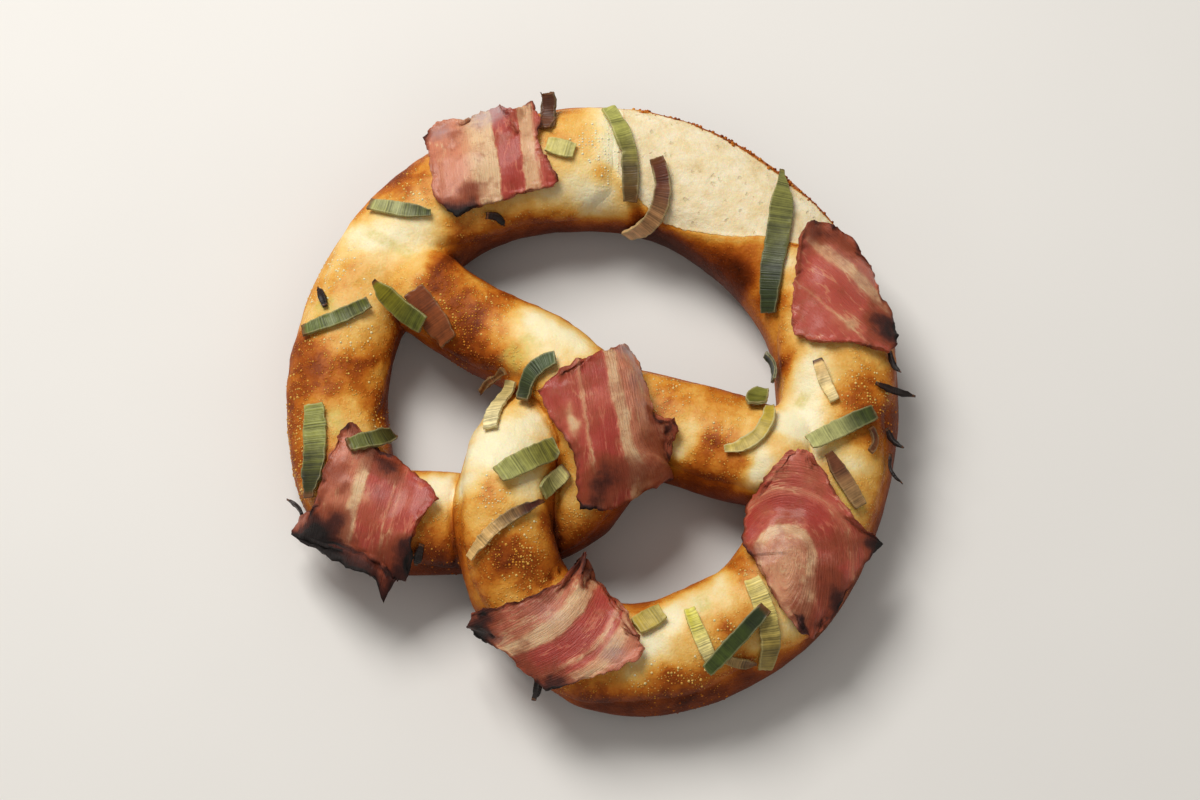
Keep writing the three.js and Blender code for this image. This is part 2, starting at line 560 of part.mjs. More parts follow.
// Gives a grid its thickness, half to either side.
function thicken(grid, thickness) {
  const last = grid.length - 1;
  const edge = grid[0].length - 1;
  const faces = [1, -1].map((sign) => grid.map((row, i) => row.map((p, j) => {
    const down = grid[Math.min(i + 1, last)][j].clone().sub(grid[Math.max(i - 1, 0)][j]);
    const over = row[Math.min(j + 1, edge)].clone().sub(row[Math.max(j - 1, 0)]);
    const normal = vec(0, 0, 0).crossVectors(down, over).normalize();
    return p.clone().addScaledVector(normal, sign * thickness / 2);
  })));
  return sheet(faces[0], faces[1]);
}

// Value between evenly spaced ones, at a share of the way.
function between(values, share) {
  const place = share * (values.length - 1);
  const i = Math.min(Math.floor(place), values.length - 2);
  return lerp(values[i], values[i + 1], place - i);
}

function baconGrid({ left, right, start, end, edges, tips, base = 0, ...place }) {
  const raise = (u, v) => {
    const rim = Math.max(Math.abs(2 * u - 1), Math.abs(2 * v - 1)) ** EDGE_SNAP;
    const wave = Math.sin(FRILL.along * u + FRILL.across * v + place.x);
    const frill = BACON_RIPPLE * rim * (1 + wave) / 2;
    const curl = tips.reduce((sum, tip) => {
      const away = Math.hypot(u - tip.u, v - tip.v) / TIP_SIZE;
      return sum + tip.lift * Math.exp(-away * away);
    }, base);
    return frill + curl + edges[0] * (1 - u) ** EDGE_SNAP + edges[1] * u ** EDGE_SNAP;
  };
  return lay({
    ...place,
    rows: BACON_GRID,
    columns: BACON_GRID,
    trim: (u) => [between(right, u), between(left, u)],
    slide: (u, v) => between(start, v) * (1 - u) ** SLIDE_SNAP + between(end, v) * u ** SLIDE_SNAP,
    raise,
    height: REST_GAP + BACON_THICKNESS / 2,
  });
}

const bacon = (slice) => thicken(baconGrid(slice), BACON_THICKNESS);

function strip({ width, ends, base = 0, ...place }) {
  const rows = 2 * Math.max(2, Math.round(place.length / LEEK_ROW / 2));
  const raise = (u, v) => {
    const toEnd = Math.abs(2 * u - 1) ** 2;
    return base + LEEK_CUP * (2 * v - 1) ** 2 + (u < 0.5 ? ends[0] : ends[1]) * toEnd;
  };
  const trim = (u) => {
    const reach = width / 2 * (1 - STRIP_TAPER * Math.abs(2 * u - 1) ** TAPER_SNAP);
    return [reach, reach];
  };
  const grid = lay({
    ...place,
    rows,
    columns: 2,
    trim,
    slide: () => 0,
    raise,
    height: REST_GAP + LEEK_THICKNESS / 2,
  });
  return thicken(grid, LEEK_THICKNESS);
}

// Assembly

const pretzel = new THREE.Group();

function add(name, geometry, material) {
  const mesh = new THREE.Mesh(geometry, material);
  mesh.name = name;
  pretzel.add(mesh);
}

add('bread', geometryOfSolid(dough(0)), DOUGH);
add('cheese', geometryOfSolid(cheese()), CHEESE);
for (const slice of BACON_SLICES) add(slice.name, bacon(slice), BACON);
for (const piece of GREEN_STRIPS) add(piece.name, strip(piece), LEEK);
for (const piece of BROWN_STRIPS) add(piece.name, strip(piece), BROWNED);

// The frame's origin is under the middle of the whole piece.
const middle = new THREE.Box3().setFromObject(pretzel).getCenter(vec(0, 0, 0));
pretzel.position.set(-middle.x, -middle.y, 0);

export default pretzel;
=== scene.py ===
# Pretzel topped like a tarte flambee: dough with a burst belly, melted cheese, bacon, leek, burnt scraps.
import heapq
import math
import random

import bmesh
import bpy
import numpy as np
from mathutils import Matrix, Vector, noise
from mathutils.bvhtree import BVHTree
from mathutils.kdtree import KDTree


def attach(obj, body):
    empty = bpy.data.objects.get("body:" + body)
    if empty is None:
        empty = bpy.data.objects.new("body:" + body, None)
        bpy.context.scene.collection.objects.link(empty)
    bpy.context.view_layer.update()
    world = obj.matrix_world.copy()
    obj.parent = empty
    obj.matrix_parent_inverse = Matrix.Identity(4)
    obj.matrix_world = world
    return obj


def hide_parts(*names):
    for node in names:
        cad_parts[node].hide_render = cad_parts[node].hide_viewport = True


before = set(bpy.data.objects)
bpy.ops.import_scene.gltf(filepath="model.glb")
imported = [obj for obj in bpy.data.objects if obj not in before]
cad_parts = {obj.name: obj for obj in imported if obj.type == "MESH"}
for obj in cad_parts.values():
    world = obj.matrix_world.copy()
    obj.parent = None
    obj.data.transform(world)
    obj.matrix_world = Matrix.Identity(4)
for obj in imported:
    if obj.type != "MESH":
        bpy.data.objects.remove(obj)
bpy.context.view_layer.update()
scene = bpy.context.scene
mm = 0.001
dice = random.Random(23)


# camera

cameraSetup = {
    "lens": 135, "sensor": 36, "clipEnd": 20,
    "frameWidth": 0.336,  # metres across the picture at the target
    "elevation": 70,
    "target": (-0.0001, 0.0014, 0.014),
}


def makeCamera(setup):
    data = bpy.data.cameras.new("camera")
    data.lens, data.sensor_width, data.clip_end = setup["lens"], setup["sensor"], setup["clipEnd"]
    camera = bpy.data.objects.new("camera", data)
    scene.collection.objects.link(camera)
    distance = setup["frameWidth"] * setup["lens"] / setup["sensor"]
    tilt = math.radians(setup["elevation"])
    back = Vector((0, -math.cos(tilt), math.sin(tilt)))
    camera.location = Vector(setup["target"]) + back * distance
    camera.rotation_euler = (-back).to_track_quat("-Z", "Y").to_euler()
    scene.camera = camera
    print("camera at", tuple(round(v, 3) for v in camera.location))


makeCamera(cameraSetup)


# small helpers

def linear(red, green, blue):  # a screen colour, 0 to 255, as shaders want it
    def part(value):
        value /= 255
        return value / 12.92 if value <= 0.04045 else ((value + 0.055) / 1.055) ** 2.4
    return part(red), part(green), part(blue), 1.0


def ease(low, high, value):
    share = np.clip((value - low) / (high - low), 0, 1)
    return share * share * (3 - 2 * share)


def bell(values, middle, reach):
    return np.exp(-((values - middle) / reach) ** 2)


def spot(plan, x, y, reach):  # 1 at that place, fading out around it
    return np.exp(-((plan[:, 0] - x) ** 2 + (plan[:, 1] - y) ** 2) / reach ** 2)


def lumps(points, size, seed=0):  # smooth noise, about -1 to 1, with lumps of that size
    shift = Vector((seed * 3.7 + 11.3, seed * 1.9 + 5.1, seed * 5.3 + 7.7))
    return np.array([noise.noise(Vector(p) / size + shift) for p in points])


def waves(points, shape, seed):  # the same, shape being size and height
    return shape[1] * lumps(points, shape[0], seed)


def wandered(points, shapes, *seeds):  # x and y in mm, shifted here and there for uneven outlines
    plan = points[:, :2] / mm
    for shape in shapes:
        plan = plan + np.stack([waves(points, shape, seed) for seed in seeds], 1)
    return plan


def turned(dx, dy, heading):  # lengths along the heading and to the left of it
    turn = math.radians(heading)
    return dx * math.cos(turn) + dy * math.sin(turn), dy * math.cos(turn) - dx * math.sin(turn)


def readVectors(data, key):
    flat = np.empty(len(data) * 3, np.float32)
    data.foreach_get(key, flat)
    return flat.reshape(-1, 3).astype(float)


def readPoints(mesh):
    return readVectors(mesh.vertices, "co")


def readNormals(mesh):
    return readVectors(mesh.vertex_normals, "vector")


def writePoints(mesh, points):
    mesh.vertices.foreach_set("co", points.astype(np.float32).ravel())
    mesh.update()


def readValue(mesh, name):
    flat = np.empty(len(mesh.vertices), np.float32)
    mesh.attributes[name].data.foreach_get("value", flat)
    return flat.astype(float)


def paint(mesh, **layers):  # values or colours at each point, for a material to read
    for name, values in layers.items():
        values = np.asarray(values, np.float32)
        kind, key = ("FLOAT", "value") if values.ndim == 1 else ("FLOAT_COLOR", "color")
        layer = mesh.attributes.get(name) or mesh.attributes.new(name, kind, "POINT")
        layer.data.foreach_set(key, values.ravel())


def mergedCopy(node, weldGap=0.004 * mm):
    bm = bmesh.new()
    bm.from_mesh(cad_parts[node].data)
    bmesh.ops.remove_doubles(bm, verts=bm.verts, dist=weldGap)
    return bm


def newObject(name, bm):
    mesh = bpy.data.meshes.new(name)
    bm.to_mesh(mesh)
    bm.free()
    obj = bpy.data.objects.new(name, mesh)
    scene.collection.objects.link(obj)
    return obj


def modify(obj, name, kind, **values):
    modifier = obj.modifiers.new(name, kind)
    for key, value in values.items():
        setattr(modifier, key, value)


def settle(obj):  # makes the modifiers' result the mesh itself
    graph = bpy.context.evaluated_depsgraph_get()
    made = bpy.data.meshes.new_from_object(obj.evaluated_get(graph), preserve_all_data_layers=True,
                                           depsgraph=graph)
    obj.modifiers.clear()
    obj.data = made
    return made


def dress(obj, material, slotName, *nodes):
    obj.data.materials.clear()
    obj.data.materials.append(material)
    obj.data.shade_smooth()
    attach(obj, "root")
    if nodes:
        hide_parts(*nodes)
    obj.data.calc_loop_triangles()
    print(obj.name, len(obj.data.loop_triangles), "triangles")


def joinUp(name, parts):
    with bpy.context.temp_override(active_object=parts[0], object=parts[0], selected_objects=parts,
                                   selected_editable_objects=parts):
        bpy.ops.object.join()
    parts[0].name = name
    return parts[0]


# shader helpers

bench = {"tree": None}  # the node tree being wired


def feed(value, socket):
    if isinstance(value, bpy.types.NodeSocket):
        socket.id_data.links.new(value, socket)
    else:
        socket.default_value = value


def wire(sockets, values):
    for name, value in values.items():
        feed(value, sockets[name])


def put(kind, **values):
    node = bench["tree"].nodes.new("ShaderNode" + kind)
    for key, value in values.items():
        if key in node.inputs:
            feed(value, node.inputs[key])
        else:
            setattr(node, key, value)
    return node


def calc(what, *values, kind="Math", **more):
    node = put(kind, operation=what, **more)
    for value, socket in zip(values, node.inputs):
        feed(value, socket)
    return node.outputs[0]


def chain(what):  # a sum, difference or product of any number of values
    def chained(total, *values):
        for value in values:
            total = calc(what, total, value)
        return total
    return chained


plus, minus, times = chain("ADD"), chain("SUBTRACT"), chain("MULTIPLY")


def scaled(value, factor, start):
    return calc("MULTIPLY_ADD", value, factor, start)


def span(value, low, high, toLow=0.0, toHigh=1.0):
    given = {"Value": value, "From Min": low, "From Max": high, "To Min": toLow, "To Max": toHigh}
    return put("MapRange", interpolation_type="SMOOTHSTEP", **given).outputs["Result"]


def blendColour(factor, first, second, kind="RGBA", sockets=(6, 7), result=2):
    node = put("Mix", data_type=kind)
    wire(node.inputs, {0: factor, sockets[0]: first, sockets[1]: second})
    return node.outputs[result]


def blendValue(factor, first, second):
    return blendColour(factor, first, second, "FLOAT", (2, 3), 0)


def stain(factor, colour, tone):  # tone: a screen colour
    return blendColour(factor, colour, linear(*tone))


def ramp(value, stops):
    node = put("ValToRGB", Fac=value)
    elements = node.color_ramp.elements
    elements.remove(elements[1])
    elements[0].position, elements[0].color = stops[0]
    for place, colour in stops[1:]:
        elements.new(place).color = colour
    return node.outputs["Color"]


def toneRamp(value, tones, full=1):
    return ramp(value, [(at / full, linear(*tone)) for at, tone in tones])


def where():
    return put("TexCoord").outputs["Object"]


def cloud(place, scale, detail=3.0, rough=0.55):
    return put("TexNoise", Vector=place, Scale=scale, Detail=detail, Roughness=rough).outputs["Fac"]


def swing(*given):  # a cloud about zero
    return minus(cloud(*given), 0.5)


def frying(colour, place, look, amount):  # darkens in stages, with an uneven outline
    fry = scaled(swing(place, *look["fryCloud"]), look["fryReach"], amount)
    for limits, tone in look["fried"]:
        colour = stain(span(fry, *limits), colour, tone)
    return colour, fry


def painted(name, output="Fac"):
    return put("Attribute", attribute_name=name).outputs[output]


def newGroup(name, takes):  # takes values of these names, gives a surface
    tree = bench["tree"] = bpy.data.node_groups.new(name, "ShaderNodeTree")
    for label, value in takes.items():
        kind = "NodeSocketFloat" if isinstance(value, float) else "NodeSocketColor"
        tree.interface.new_socket(name=label, in_out="INPUT", socket_type=kind).default_value = value
    for label, kind in (("Color", "Color"), ("Roughness", "Float"), ("Height", "Float")):
        tree.interface.new_socket(name=label, in_out="OUTPUT", socket_type="NodeSocket" + kind)
    return tree, tree.nodes.new("NodeGroupInput").outputs, tree.nodes.new("NodeGroupOutput").inputs


def useGroup(group, *layers, **values):  # layers: painted values that feed the inputs of their name
    values.update((layer.capitalize(), painted(layer)) for layer in layers)
    return put("Group", node_tree=group, **values).outputs


def newMaterial(name):
    material = bpy.data.materials.new(name)
    material.use_nodes = True
    bench["tree"] = material.node_tree
    return material, material.node_tree.nodes["Principled BSDF"]


def glow(shader, weight, depth, tint=(1.0, 0.45, 0.2)):  # light that soaks in and comes out warmer
    wire(shader.inputs, {"Subsurface Weight": weight, "Subsurface Radius": tint, "Subsurface Scale": depth})


def bump(shader, height, distance):
    feed(put("Bump", Height=height, Distance=distance).outputs["Normal"], shader.inputs["Normal"])


# baked skin: one browning scale for the crust and the cheese, from pale cream to nearly burnt

skinLook = {
    "full": 1.2,  # browning at the end of the scale
    "tones": [
        (0, (252, 240, 202)), (0.12, (249, 232, 186)), (0.28, (243, 208, 134)), (0.42, (233, 179, 88)),
        (0.55, (216, 143, 50)), (0.68, (191, 107, 27)), (0.8, (160, 78, 15)), (0.92, (127, 55, 9)),
        (1.05, (96, 37, 6)), (1.2, (66, 23, 4)),
    ],
    "drift": (75, 0.16),  # scale per metre, strength
    "mottle": (330, 0.2),
    "grain": (1500, 0.14),
    "blisters": 1150, "crown": (0.4, 0.14),  # scale, and from a blister's foot to its top
    # blister tops paler, partly their own colour, partly a painted highlight; the gaps browner
    "gapBrown": 0.08, "crownPaleGlint": 0.24,
    "rough": (0.3, 0.85, 0.42, 0.5),  # from and to browning, and the roughness there
    "relief": (0.9, 0.55, 1.1),  # of mottle, grain and blisters
}


def makeBakedSkin(look):
    tree, given, out = newGroup("bakedSkin", {"Brown": 0.4, "Blister": 0.0})
    place, brown, swings = where(), given["Brown"], {}
    for key in ("drift", "mottle", "grain"):
        scale, strength = look[key]
        swings[key] = swing(place, scale)
        brown = plus(brown, times(swings[key], strength))
    cells = put("TexVoronoi", Vector=place, Scale=look["blisters"]).outputs["Distance"]
    crown = span(cells, *look["crown"])
    patchy = span(cloud(place, 300), 0.42, 0.6)
    raised = times(crown, patchy, given["Blister"])
    gaps = times(minus(1.0, crown), patchy, given["Blister"])
    # pale blister tops: partly their own colour, partly a painted highlight
    brown = minus(plus(brown, times(gaps, look["gapBrown"])), times(raised, look["crownPaleGlint"]))
    share = calc("DIVIDE", brown, look["full"], use_clamp=True)
    mottle, grain, crown = look["relief"]
    height = plus(times(swings["mottle"], mottle), times(swings["grain"], grain), times(raised, crown))
    wire(out, {
        "Color": toneRamp(share, look["tones"], look["full"]),
        "Roughness": plus(span(brown, *look["rough"]), times(swings["grain"], 0.25)),
        "Height": height,
    })
    return tree


bakedSkin = makeBakedSkin(skinLook)

# browned and pale places on the upper side, mostly real browning, some painted shade and painted light: x, y,
# reach in mm, and how much browner than the rest
browningAndShadingPlaces = [
    (-53.9, 63.1, 7.3, 0.3), (-58.4, 47.3, 8.4, -0.3), (-50.5, 50.2, 4.2, -0.1), (-71.5, 37.2, 7.3, 0.16),
    (-79.9, 31.8, 4.5, 0.06), (-64, 30.1, 4.5, -0.05), (-72.9, 12.5, 7.8, 0.06), (-79.1, 5.6, 6.7, 0.3),
    (-69.6, 5.6, 6.2, 0.12), (-62.3, 8.5, 4.2, -0.28), (-41.6, 25.9, 6.7, 0.34), (-34.3, 20.5, 6.2, 0.4),
    (-36.5, 13.4, 5.6, 0.3), (-28.1, 10, 4.5, 0.24), (-47.7, 33.2, 3.9, 0.2), (-15.5, 15.5, 7.3, -0.3),
    (-7.1, 11.6, 5.6, -0.3), (-19.7, 20.5, 4.5, -0.2), (-40.7, 49.8, 5.6, 0.12), (-11.3, 79, 6.2, 0.06),
    (-2.4, 73.2, 4.5, 0.1), (2.1, 67.3, 5, 0.16), (-0.1, 62.4, 3.9, 0.14), (-9.9, 59.4, 7.8, -0.2),
    (-0.1, 56.6, 5.6, -0.14), (-4.3, 54.8, 5, -0.08), (51.7, 37.9, 3.4, -0.25), (49.2, 25.9, 3.4, 0.35),
    (53.1, 8.8, 3.4, 0.35), (58.1, 4.4, 5.6, -0.3), (55.9, -6.3, 7.3, -0.35), (53.1, -12.5, 5, -0.3),
    (59.2, -17, 5, -0.25), (73.2, 0.9, 5.6, 0.35), (69.9, -6.8, 5, 0.25), (77.7, -7.3, 5, 0.3),
    (74.1, -23.8, 6.2, -0.1), (68.5, -22.2, 3.9, -0.15), (75.5, -31.8, 5, -0.1), (19.5, -0.7, 6.2, 0.18),
    (16.7, -5.9, 2.8, 0.2), (23.1, -15.8, 2.8, -0.28), (24.5, -10.2, 2.2, -0.2), (32.1, -15.1, 5.6, 0.32),
    (37.7, -22.7, 5, 0.3), (27.9, -22.6, 3.9, 0.2), (33.5, -2.4, 5.6, 0.12), (-23.9, -16.3, 7.8, -0.35),
    (-28.1, -22.9, 4.5, -0.25), (-18.3, -9.4, 3.9, -0.25), (-30.4, -35, 3.9, 0.22), (-23.9, -49.1, 6.2, 0.36),
    (-28.1, -52.9, 3.9, 0.2), (-19.7, -55.3, 5, 0.3), (-12.7, -39.9, 3.9, 0.25), (-42.5, -29.5, 5.5, -0.6),
    (-44.9, -38.4, 5, 0.2), (-47.7, -45, 5.6, 0.25), (-40.7, -47.3, 4.5, 0.25), (15.3, -72.1, 5.6, -0.35),
    (11.1, -74.3, 2.8, -0.3), (26.5, -61.4, 5, -0.3), (33.5, -56.1, 3.9, -0.25), (20, -65.4, 3.4, -0.3),
    (34.6, -71.1, 3.9, 0.3), (40.5, -66.5, 2.8, 0.2), (40.5, -51.9, 3.9, 0.2), (11, -62.5, 3.9, 0.25),
    (19, -83.2, 5, 0.26), (22.3, -82.6, 4.5, 0.2), (30.7, -82.6, 3.9, 0.2), (39.1, -78.7, 2.8, 0.35),
    (6.9, -85.1, 5, 0.1), (51.7, -69.3, 3.9, -0.2), (55.9, -70.9, 3.4, -0.1), (-66, 9.5, 4.2, 0.34),
    (-84.5, -18, 7, 0.28), (-85, -4, 7, 0.24), (-84, 14, 6, 0.16), (-35, -21, 5, -0.45),
    (-33.5, -13, 5, -0.3), (-36, -31, 4, -0.2), (0, -89, 7, 0.2), (9, -80, 5, -0.2), (74, -15, 5, 0.22),
    (-63.5, -3, 4, 0.25), (29, -14.5, 4, 0.2), (-28, 27.5, 4, 0.25), (72.7, -26.8, 5, 0.12),
    (-25.3, -44.7, 5, 0.14), (4, 54, 6, -0.3), (-65, 2, 4, 0.12), (40.5, -25.5, 4, -0.38),
    (43.5, -21.5, 4, -0.34), (-43.5, 38, 5, 0.36), (-46, 31.5, 4, 0.22), (-75.5, -17, 3.5, 0.2),
    (-78.5, 12, 5, 0.16), (-67, 9, 4, 0.12), (-1, 57, 6, -0.14), (-77.5, 36.5, 6, -0.22),
    (-71, 46.5, 7, -0.28), (-83.5, 27, 5, -0.22), (11, -86, 5, 0.22), (38, 38, 5, 0.2), (41, 33, 4, 0.22),
    (-19, -31, 6, -0.2),
]

browning = {
    "tilt": [-1.0, -0.4, 0.0, 0.3, 0.6, 0.85, 1.0],  # how far the surface faces up
    "shade": [1.1, 1.07, 1.01, 0.9, 0.65, 0.44, 0.38],  # browning that goes with it: the crust browner down the flanks, and darker still where they face down, as painted shade
    "wander": ((9 * mm, 2.6), (3.2 * mm, 1.2)),  # size and reach in mm of the uneven outlines
    "litLeftFlank": 0.22,  # painted light: how much paler the left flank is, as if lit from the left
    "uneven": ((9 * mm, 0.08), (4 * mm, 0.05)),  # size and strength
}


def browningAndShadingAt(points, normals):
    left, up = -normals[:, 0], normals[:, 2]
    # browner down the flanks, with painted shade where they face down
    brown = np.interp(up, browning["tilt"], browning["shade"])
    plan = wandered(points, browning["wander"], 31, 37)
    # painted light: the left flank is made paler, as if lit from the left
    litFlank = ease(0.1, 0.8, left) * ease(0.75, 0.3, up) * ease(-0.7, -0.1, up)
    brown -= browning["litLeftFlank"] * litFlank
    upperSide = ease(-0.1, 0.5, up)
    # real browning, and in some places painted shade and painted light
    for *place, amount in browningAndShadingPlaces:
        brown += amount * spot(plan, *place) * upperSide
    for seed, shape in enumerate(browning["uneven"], 1):
        brown += waves(points, shape, seed)
    return brown


# bread: the rope of dough, with the belly burst open to its crumb

breadForm = {
    "grain": 0.9 * mm,
    "firstRounds": 6,  # of smoothing, before creases are looked for
    "rounds": {"rolled": 34, "melted": 80},
    "hollow": (0.012, 0.045),  # from flat to a full crease
    "creaseRings": 2,  # how far a crease spreads, in points
    # painted shade: how much darker the creases between strands are
    "creaseShade": 0.22,
    "melted": [(-53, 38, 10), (52, -7, 9)],  # where cheese fills the crease: x, y, reach in mm
    "meltStrength": 1.3,
    "swell": 0.2 * mm,  # makes up for what the smoothing takes
    "lump": (7 * mm, 0.22 * mm), "ripple": (2.6 * mm, 0.06 * mm),  # size and height
    "blister": 0.35,
}
burst = {
    "middle": (-1.243 * mm, -1.558 * mm),
    "ring": [(20, 68.8, 34.0), (45, 70.2, 34.8), (70, 72.2, 36.0), (96, 73.2, 35.0)],  # angle, radius, width
    "rise": 0.84, "foot": 1.2,  # height for width, and mm pressed flat below
    "innerEdge": [(33, 44), (38, 11), (41, 0), (43.5, -10), (46.5, -21), (48.5, -31), (54, -45), (62, -57),
                  (69.5, -63), (73, -58), (76.5, -52), (79, -44), (86, -20)],  # angle, tilt
    "outerEdge": [(33, 66), (38, 65), (48, 60.5), (62, 64), (86, 64)],
    "start": 85, "end": 33,
    "near": (40 * mm, 15, 105),  # radius and angles beyond which there is none of it
    "outside": -20,  # mm, the depth given there
    "ragged": ((5 * mm, 0.5), (1.8 * mm, 0.3)),  # size, and reach in mm
    "rimBrown": (0.86, 0.52),  # outer, inner
    "lip": 0.35 * mm, "sink": 0.3 * mm,
    "crumbRelief": ((3.2 * mm, 0.16 * mm), (1.5 * mm, 0.09 * mm)),
    "paleEnd": (0.5, 6.5),  # where cheese runs into the crumb: strength, reach in mm
    "darkBelow": 0.24,  # crust on the inner side
}


def burstDepth(points):  # how far inside the burst's sides and ends each point lies, in mm, and its tilt
    x = points[:, 0] - burst["middle"][0]
    y = points[:, 1] - burst["middle"][1]
    angle = np.degrees(np.arctan2(y, x))
    ring = np.array(burst["ring"])
    middle = np.interp(angle, ring[:, 0], ring[:, 1])
    width = np.interp(angle, ring[:, 0], ring[:, 2])
    height = width * burst["rise"] / 2 - burst["foot"]
    tilt = np.degrees(np.arctan2(np.hypot(x, y) / mm - middle, points[:, 2] / mm - height))
    inner = np.interp(angle, *np.array(burst["innerEdge"]).T)
    outer = np.interp(angle, *np.array(burst["outerEdge"]).T)
    perDegree = math.radians(1) * width / 2
    sides = np.minimum((tilt - inner) * perDegree, (outer - tilt) * perDegree)
    ends = np.minimum(burst["start"] - angle, angle - burst["end"]) * math.radians(1) * middle
    radius, low, high = burst["near"]
    far = (np.hypot(x, y) < radius) | (angle < low) | (angle > high)
    return np.where(far, burst["outside"], sides), np.where(far, burst["outside"], ends), tilt


def makeBread(form):
    obj = newObject("breadRope", mergedCopy("bread"))
    modify(obj, "grain", "REMESH", mode="VOXEL", voxel_size=form["grain"])
    modify(obj, "rolled", "SMOOTH", factor=0.5, iterations=form["firstRounds"])
    mesh = settle(obj)
    # creases between strands stay crisp while the rest is rolled smooth
    points, normals = readPoints(mesh), readNormals(mesh)
    ends = np.empty(len(mesh.edges) * 2, np.int32)
    mesh.edges.foreach_get("vertices", ends)
    first, second = ends[0::2], ends[1::2]
    count = np.bincount(ends, minlength=len(points))

    def around(values):  # mean of the neighbours
        total = np.zeros_like(values)
        np.add.at(total, first, values[second])
        np.add.at(total, second, values[first])
        return (total.T / count).T

    hollow = np.einsum("ij,ij->i", around(points) - points, normals) / form["grain"]
    crease = ease(*form["hollow"], hollow)
    for ring in range(form["creaseRings"]):
        crease = np.maximum(crease, around(crease))
    melt = sum(spot(points[:, :2] / mm, *place) for place in form["melted"])
    melt = np.clip(melt * form["meltStrength"], 0, 1) * ease(0.0, 0.4, normals[:, 2])
    crease *= 1 - melt
    for name, weights in (("rolled", 1 - crease), ("melted", melt)):
        group = obj.vertex_groups.new(name=name)
        for index, value in enumerate(weights):
            group.add([index], float(value), "REPLACE")
        modify(obj, name, "SMOOTH", factor=0.5, iterations=form["rounds"][name], vertex_group=name)
    mesh = settle(obj)
    obj.vertex_groups.clear()
    points, normals = readPoints(mesh), readNormals(mesh)
    up = normals[:, 2]
    print("dough rolled,", len(points), "points")
    # browning follows the rolled shape, before the small relief
    sides, ends, tilt = burstDepth(points)
    wander = waves(points, burst["ragged"][0], 3) + waves(points, burst["ragged"][1], 4)
    sides, ends = sides + wander, ends + wander
    depth = np.minimum(sides, ends)
    inside = ease(-0.2, 0.8, depth)
    within = ease(-0.5, 2.5, ends)
    # real browning with painted shade and light, and painted shade in the creases between strands
    brown = browningAndShadingAt(points, normals) + form["creaseShade"] * crease * ease(-0.2, 0.4, up)
    brown = np.maximum(brown, np.where(tilt > 0, *burst["rimBrown"]) * bell(sides, -0.8, 1.4) * within)
    strength, reach = burst["paleEnd"]
    brown -= strength * bell(ends, 0, reach) * ease(-4, 3, sides)
    brown += burst["darkBelow"] * ease(-0.8, -4.5, sides) * ease(4, 10, ends) * ease(0, -20, tilt)
    relief = form["swell"] + waves(points, form["lump"], 5) * (1 - 0.5 * inside)
    relief += waves(points, form["ripple"], 6)
    relief = relief + burst["lip"] * (bell(sides, -0.9, 1.3) * within) - burst["sink"] * inside
    coarse, fine = burst["crumbRelief"]
    relief += inside * (waves(points, coarse, 7) + waves(points, fine, 8))
    points += normals * relief[:, None]
    points[:, 2] = np.maximum(points[:, 2], 0)
    writePoints(mesh, points)
    paint(mesh, brown=brown, crumb=np.clip(0.5 + depth / 4, 0, 1), crease=crease,
          blister=form["blister"] * ease(0.45, 0.8, brown) * ease(-0.4, 0.3, up))
    return obj


crumbLook = {
    "tones": [(0.28, (228, 202, 152)), (0.46, (240, 221, 178)), (0.64, (247, 234, 202))],
    "torn": 0.22, "edge": (0.47, 0.55),  # unevenness and place of its edge
    "pores": 520, "poreBend": (1.6 * mm, 1.6 * mm, 1.6 * mm),
    "pore": (186, 160, 108), "poreShade": 0.3,
    "toast": (234, 198, 138), "toastShade": 0.45,
}


def makeCrustMaterial(look):
    material, shader = newMaterial("crust")
    place = where()
    skin = useGroup(bakedSkin, "brown", "blister")
    crumb = scaled(swing(place, 900, 2.0), look["torn"], painted("crumb"))
    opened = span(crumb, *look["edge"])
    soft = toneRamp(cloud(place, 190, 7.0, 0.66), look["tones"])
    bent = put("TexNoise", Vector=place, Scale=900.0, Detail=2.0).outputs["Color"]
    bent = calc("MULTIPLY_ADD", bent, look["poreBend"], place, kind="VectorMath")
    cells = put("TexVoronoi", Vector=bent, Scale=look["pores"]).outputs
    picked = put("SeparateColor", Color=cells["Color"]).outputs["Red"]
    size = span(picked, 0.62, 1.0, 0.0, 0.36)
    pore = span(minus(cells["Distance"], size), 0.02, -0.12)
    soft = stain(times(pore, look["poreShade"]), soft, look["pore"])
    soft = stain(times(span(crumb, 0.74, 0.52), look["toastShade"]), soft, look["toast"])
    spongy = minus(cloud(place, 650, 4.0, 0.65), times(pore, 0.35))
    wire(shader.inputs, {
        "Base Color": blendColour(opened, skin["Color"], soft),
        "Roughness": blendValue(opened, skin["Roughness"], 0.72),
        "Coat Weight": span(opened, 0.0, 1.0, 0.03, 0.0),
        "Coat Roughness": 0.2,
        "Specular IOR Level": 0.07,
    })
    glow(shader, 0.2, 1.6 * mm)
    bump(shader, blendValue(opened, skin["Height"], spongy), 0.4 * mm)
    return material


crust = makeCrustMaterial(crumbLook)
bread = makeBread(breadForm)
print("bread shaped")


# cheese: a melted skin that thins out to nothing down the sides

cheeseForm = {
    "near": 0.6 * mm,  # full cover closer than this to the fitted skin, none beyond the next
    "far": 5.5 * mm,
    "outline": ((5 * mm, 0.7 * mm), (2 * mm, 0.3 * mm)),  # size and reach of its unevenness
    "leastCover": 0.04,
    "edge": -0.2 * mm, "thick": 1.25 * mm, "depth": 1.3 * mm, "creaseSink": 0.8 * mm,
    "blob": (2.4 * mm, 0.16 * mm), "bubble": (1.2 * mm, 0.07 * mm),  # size and height
    "leekTint": (206, 192, 98),
}
# leek that shows through the melted cheese: x, y, length, width in mm, heading in degrees
leekUnderCheese = [
    (-59.2, 44.4, 15, 3, -32), (-76.6, 26, 6, 4.5, 15), (-73.5, -8.3, 8, 4, -80), (-21.4, 9.6, 10, 7, 40),
    (56.5, -3, 5, 3, 60), (68, -31, 10, 4, -60), (28, -62, 5, 4, -60),
]


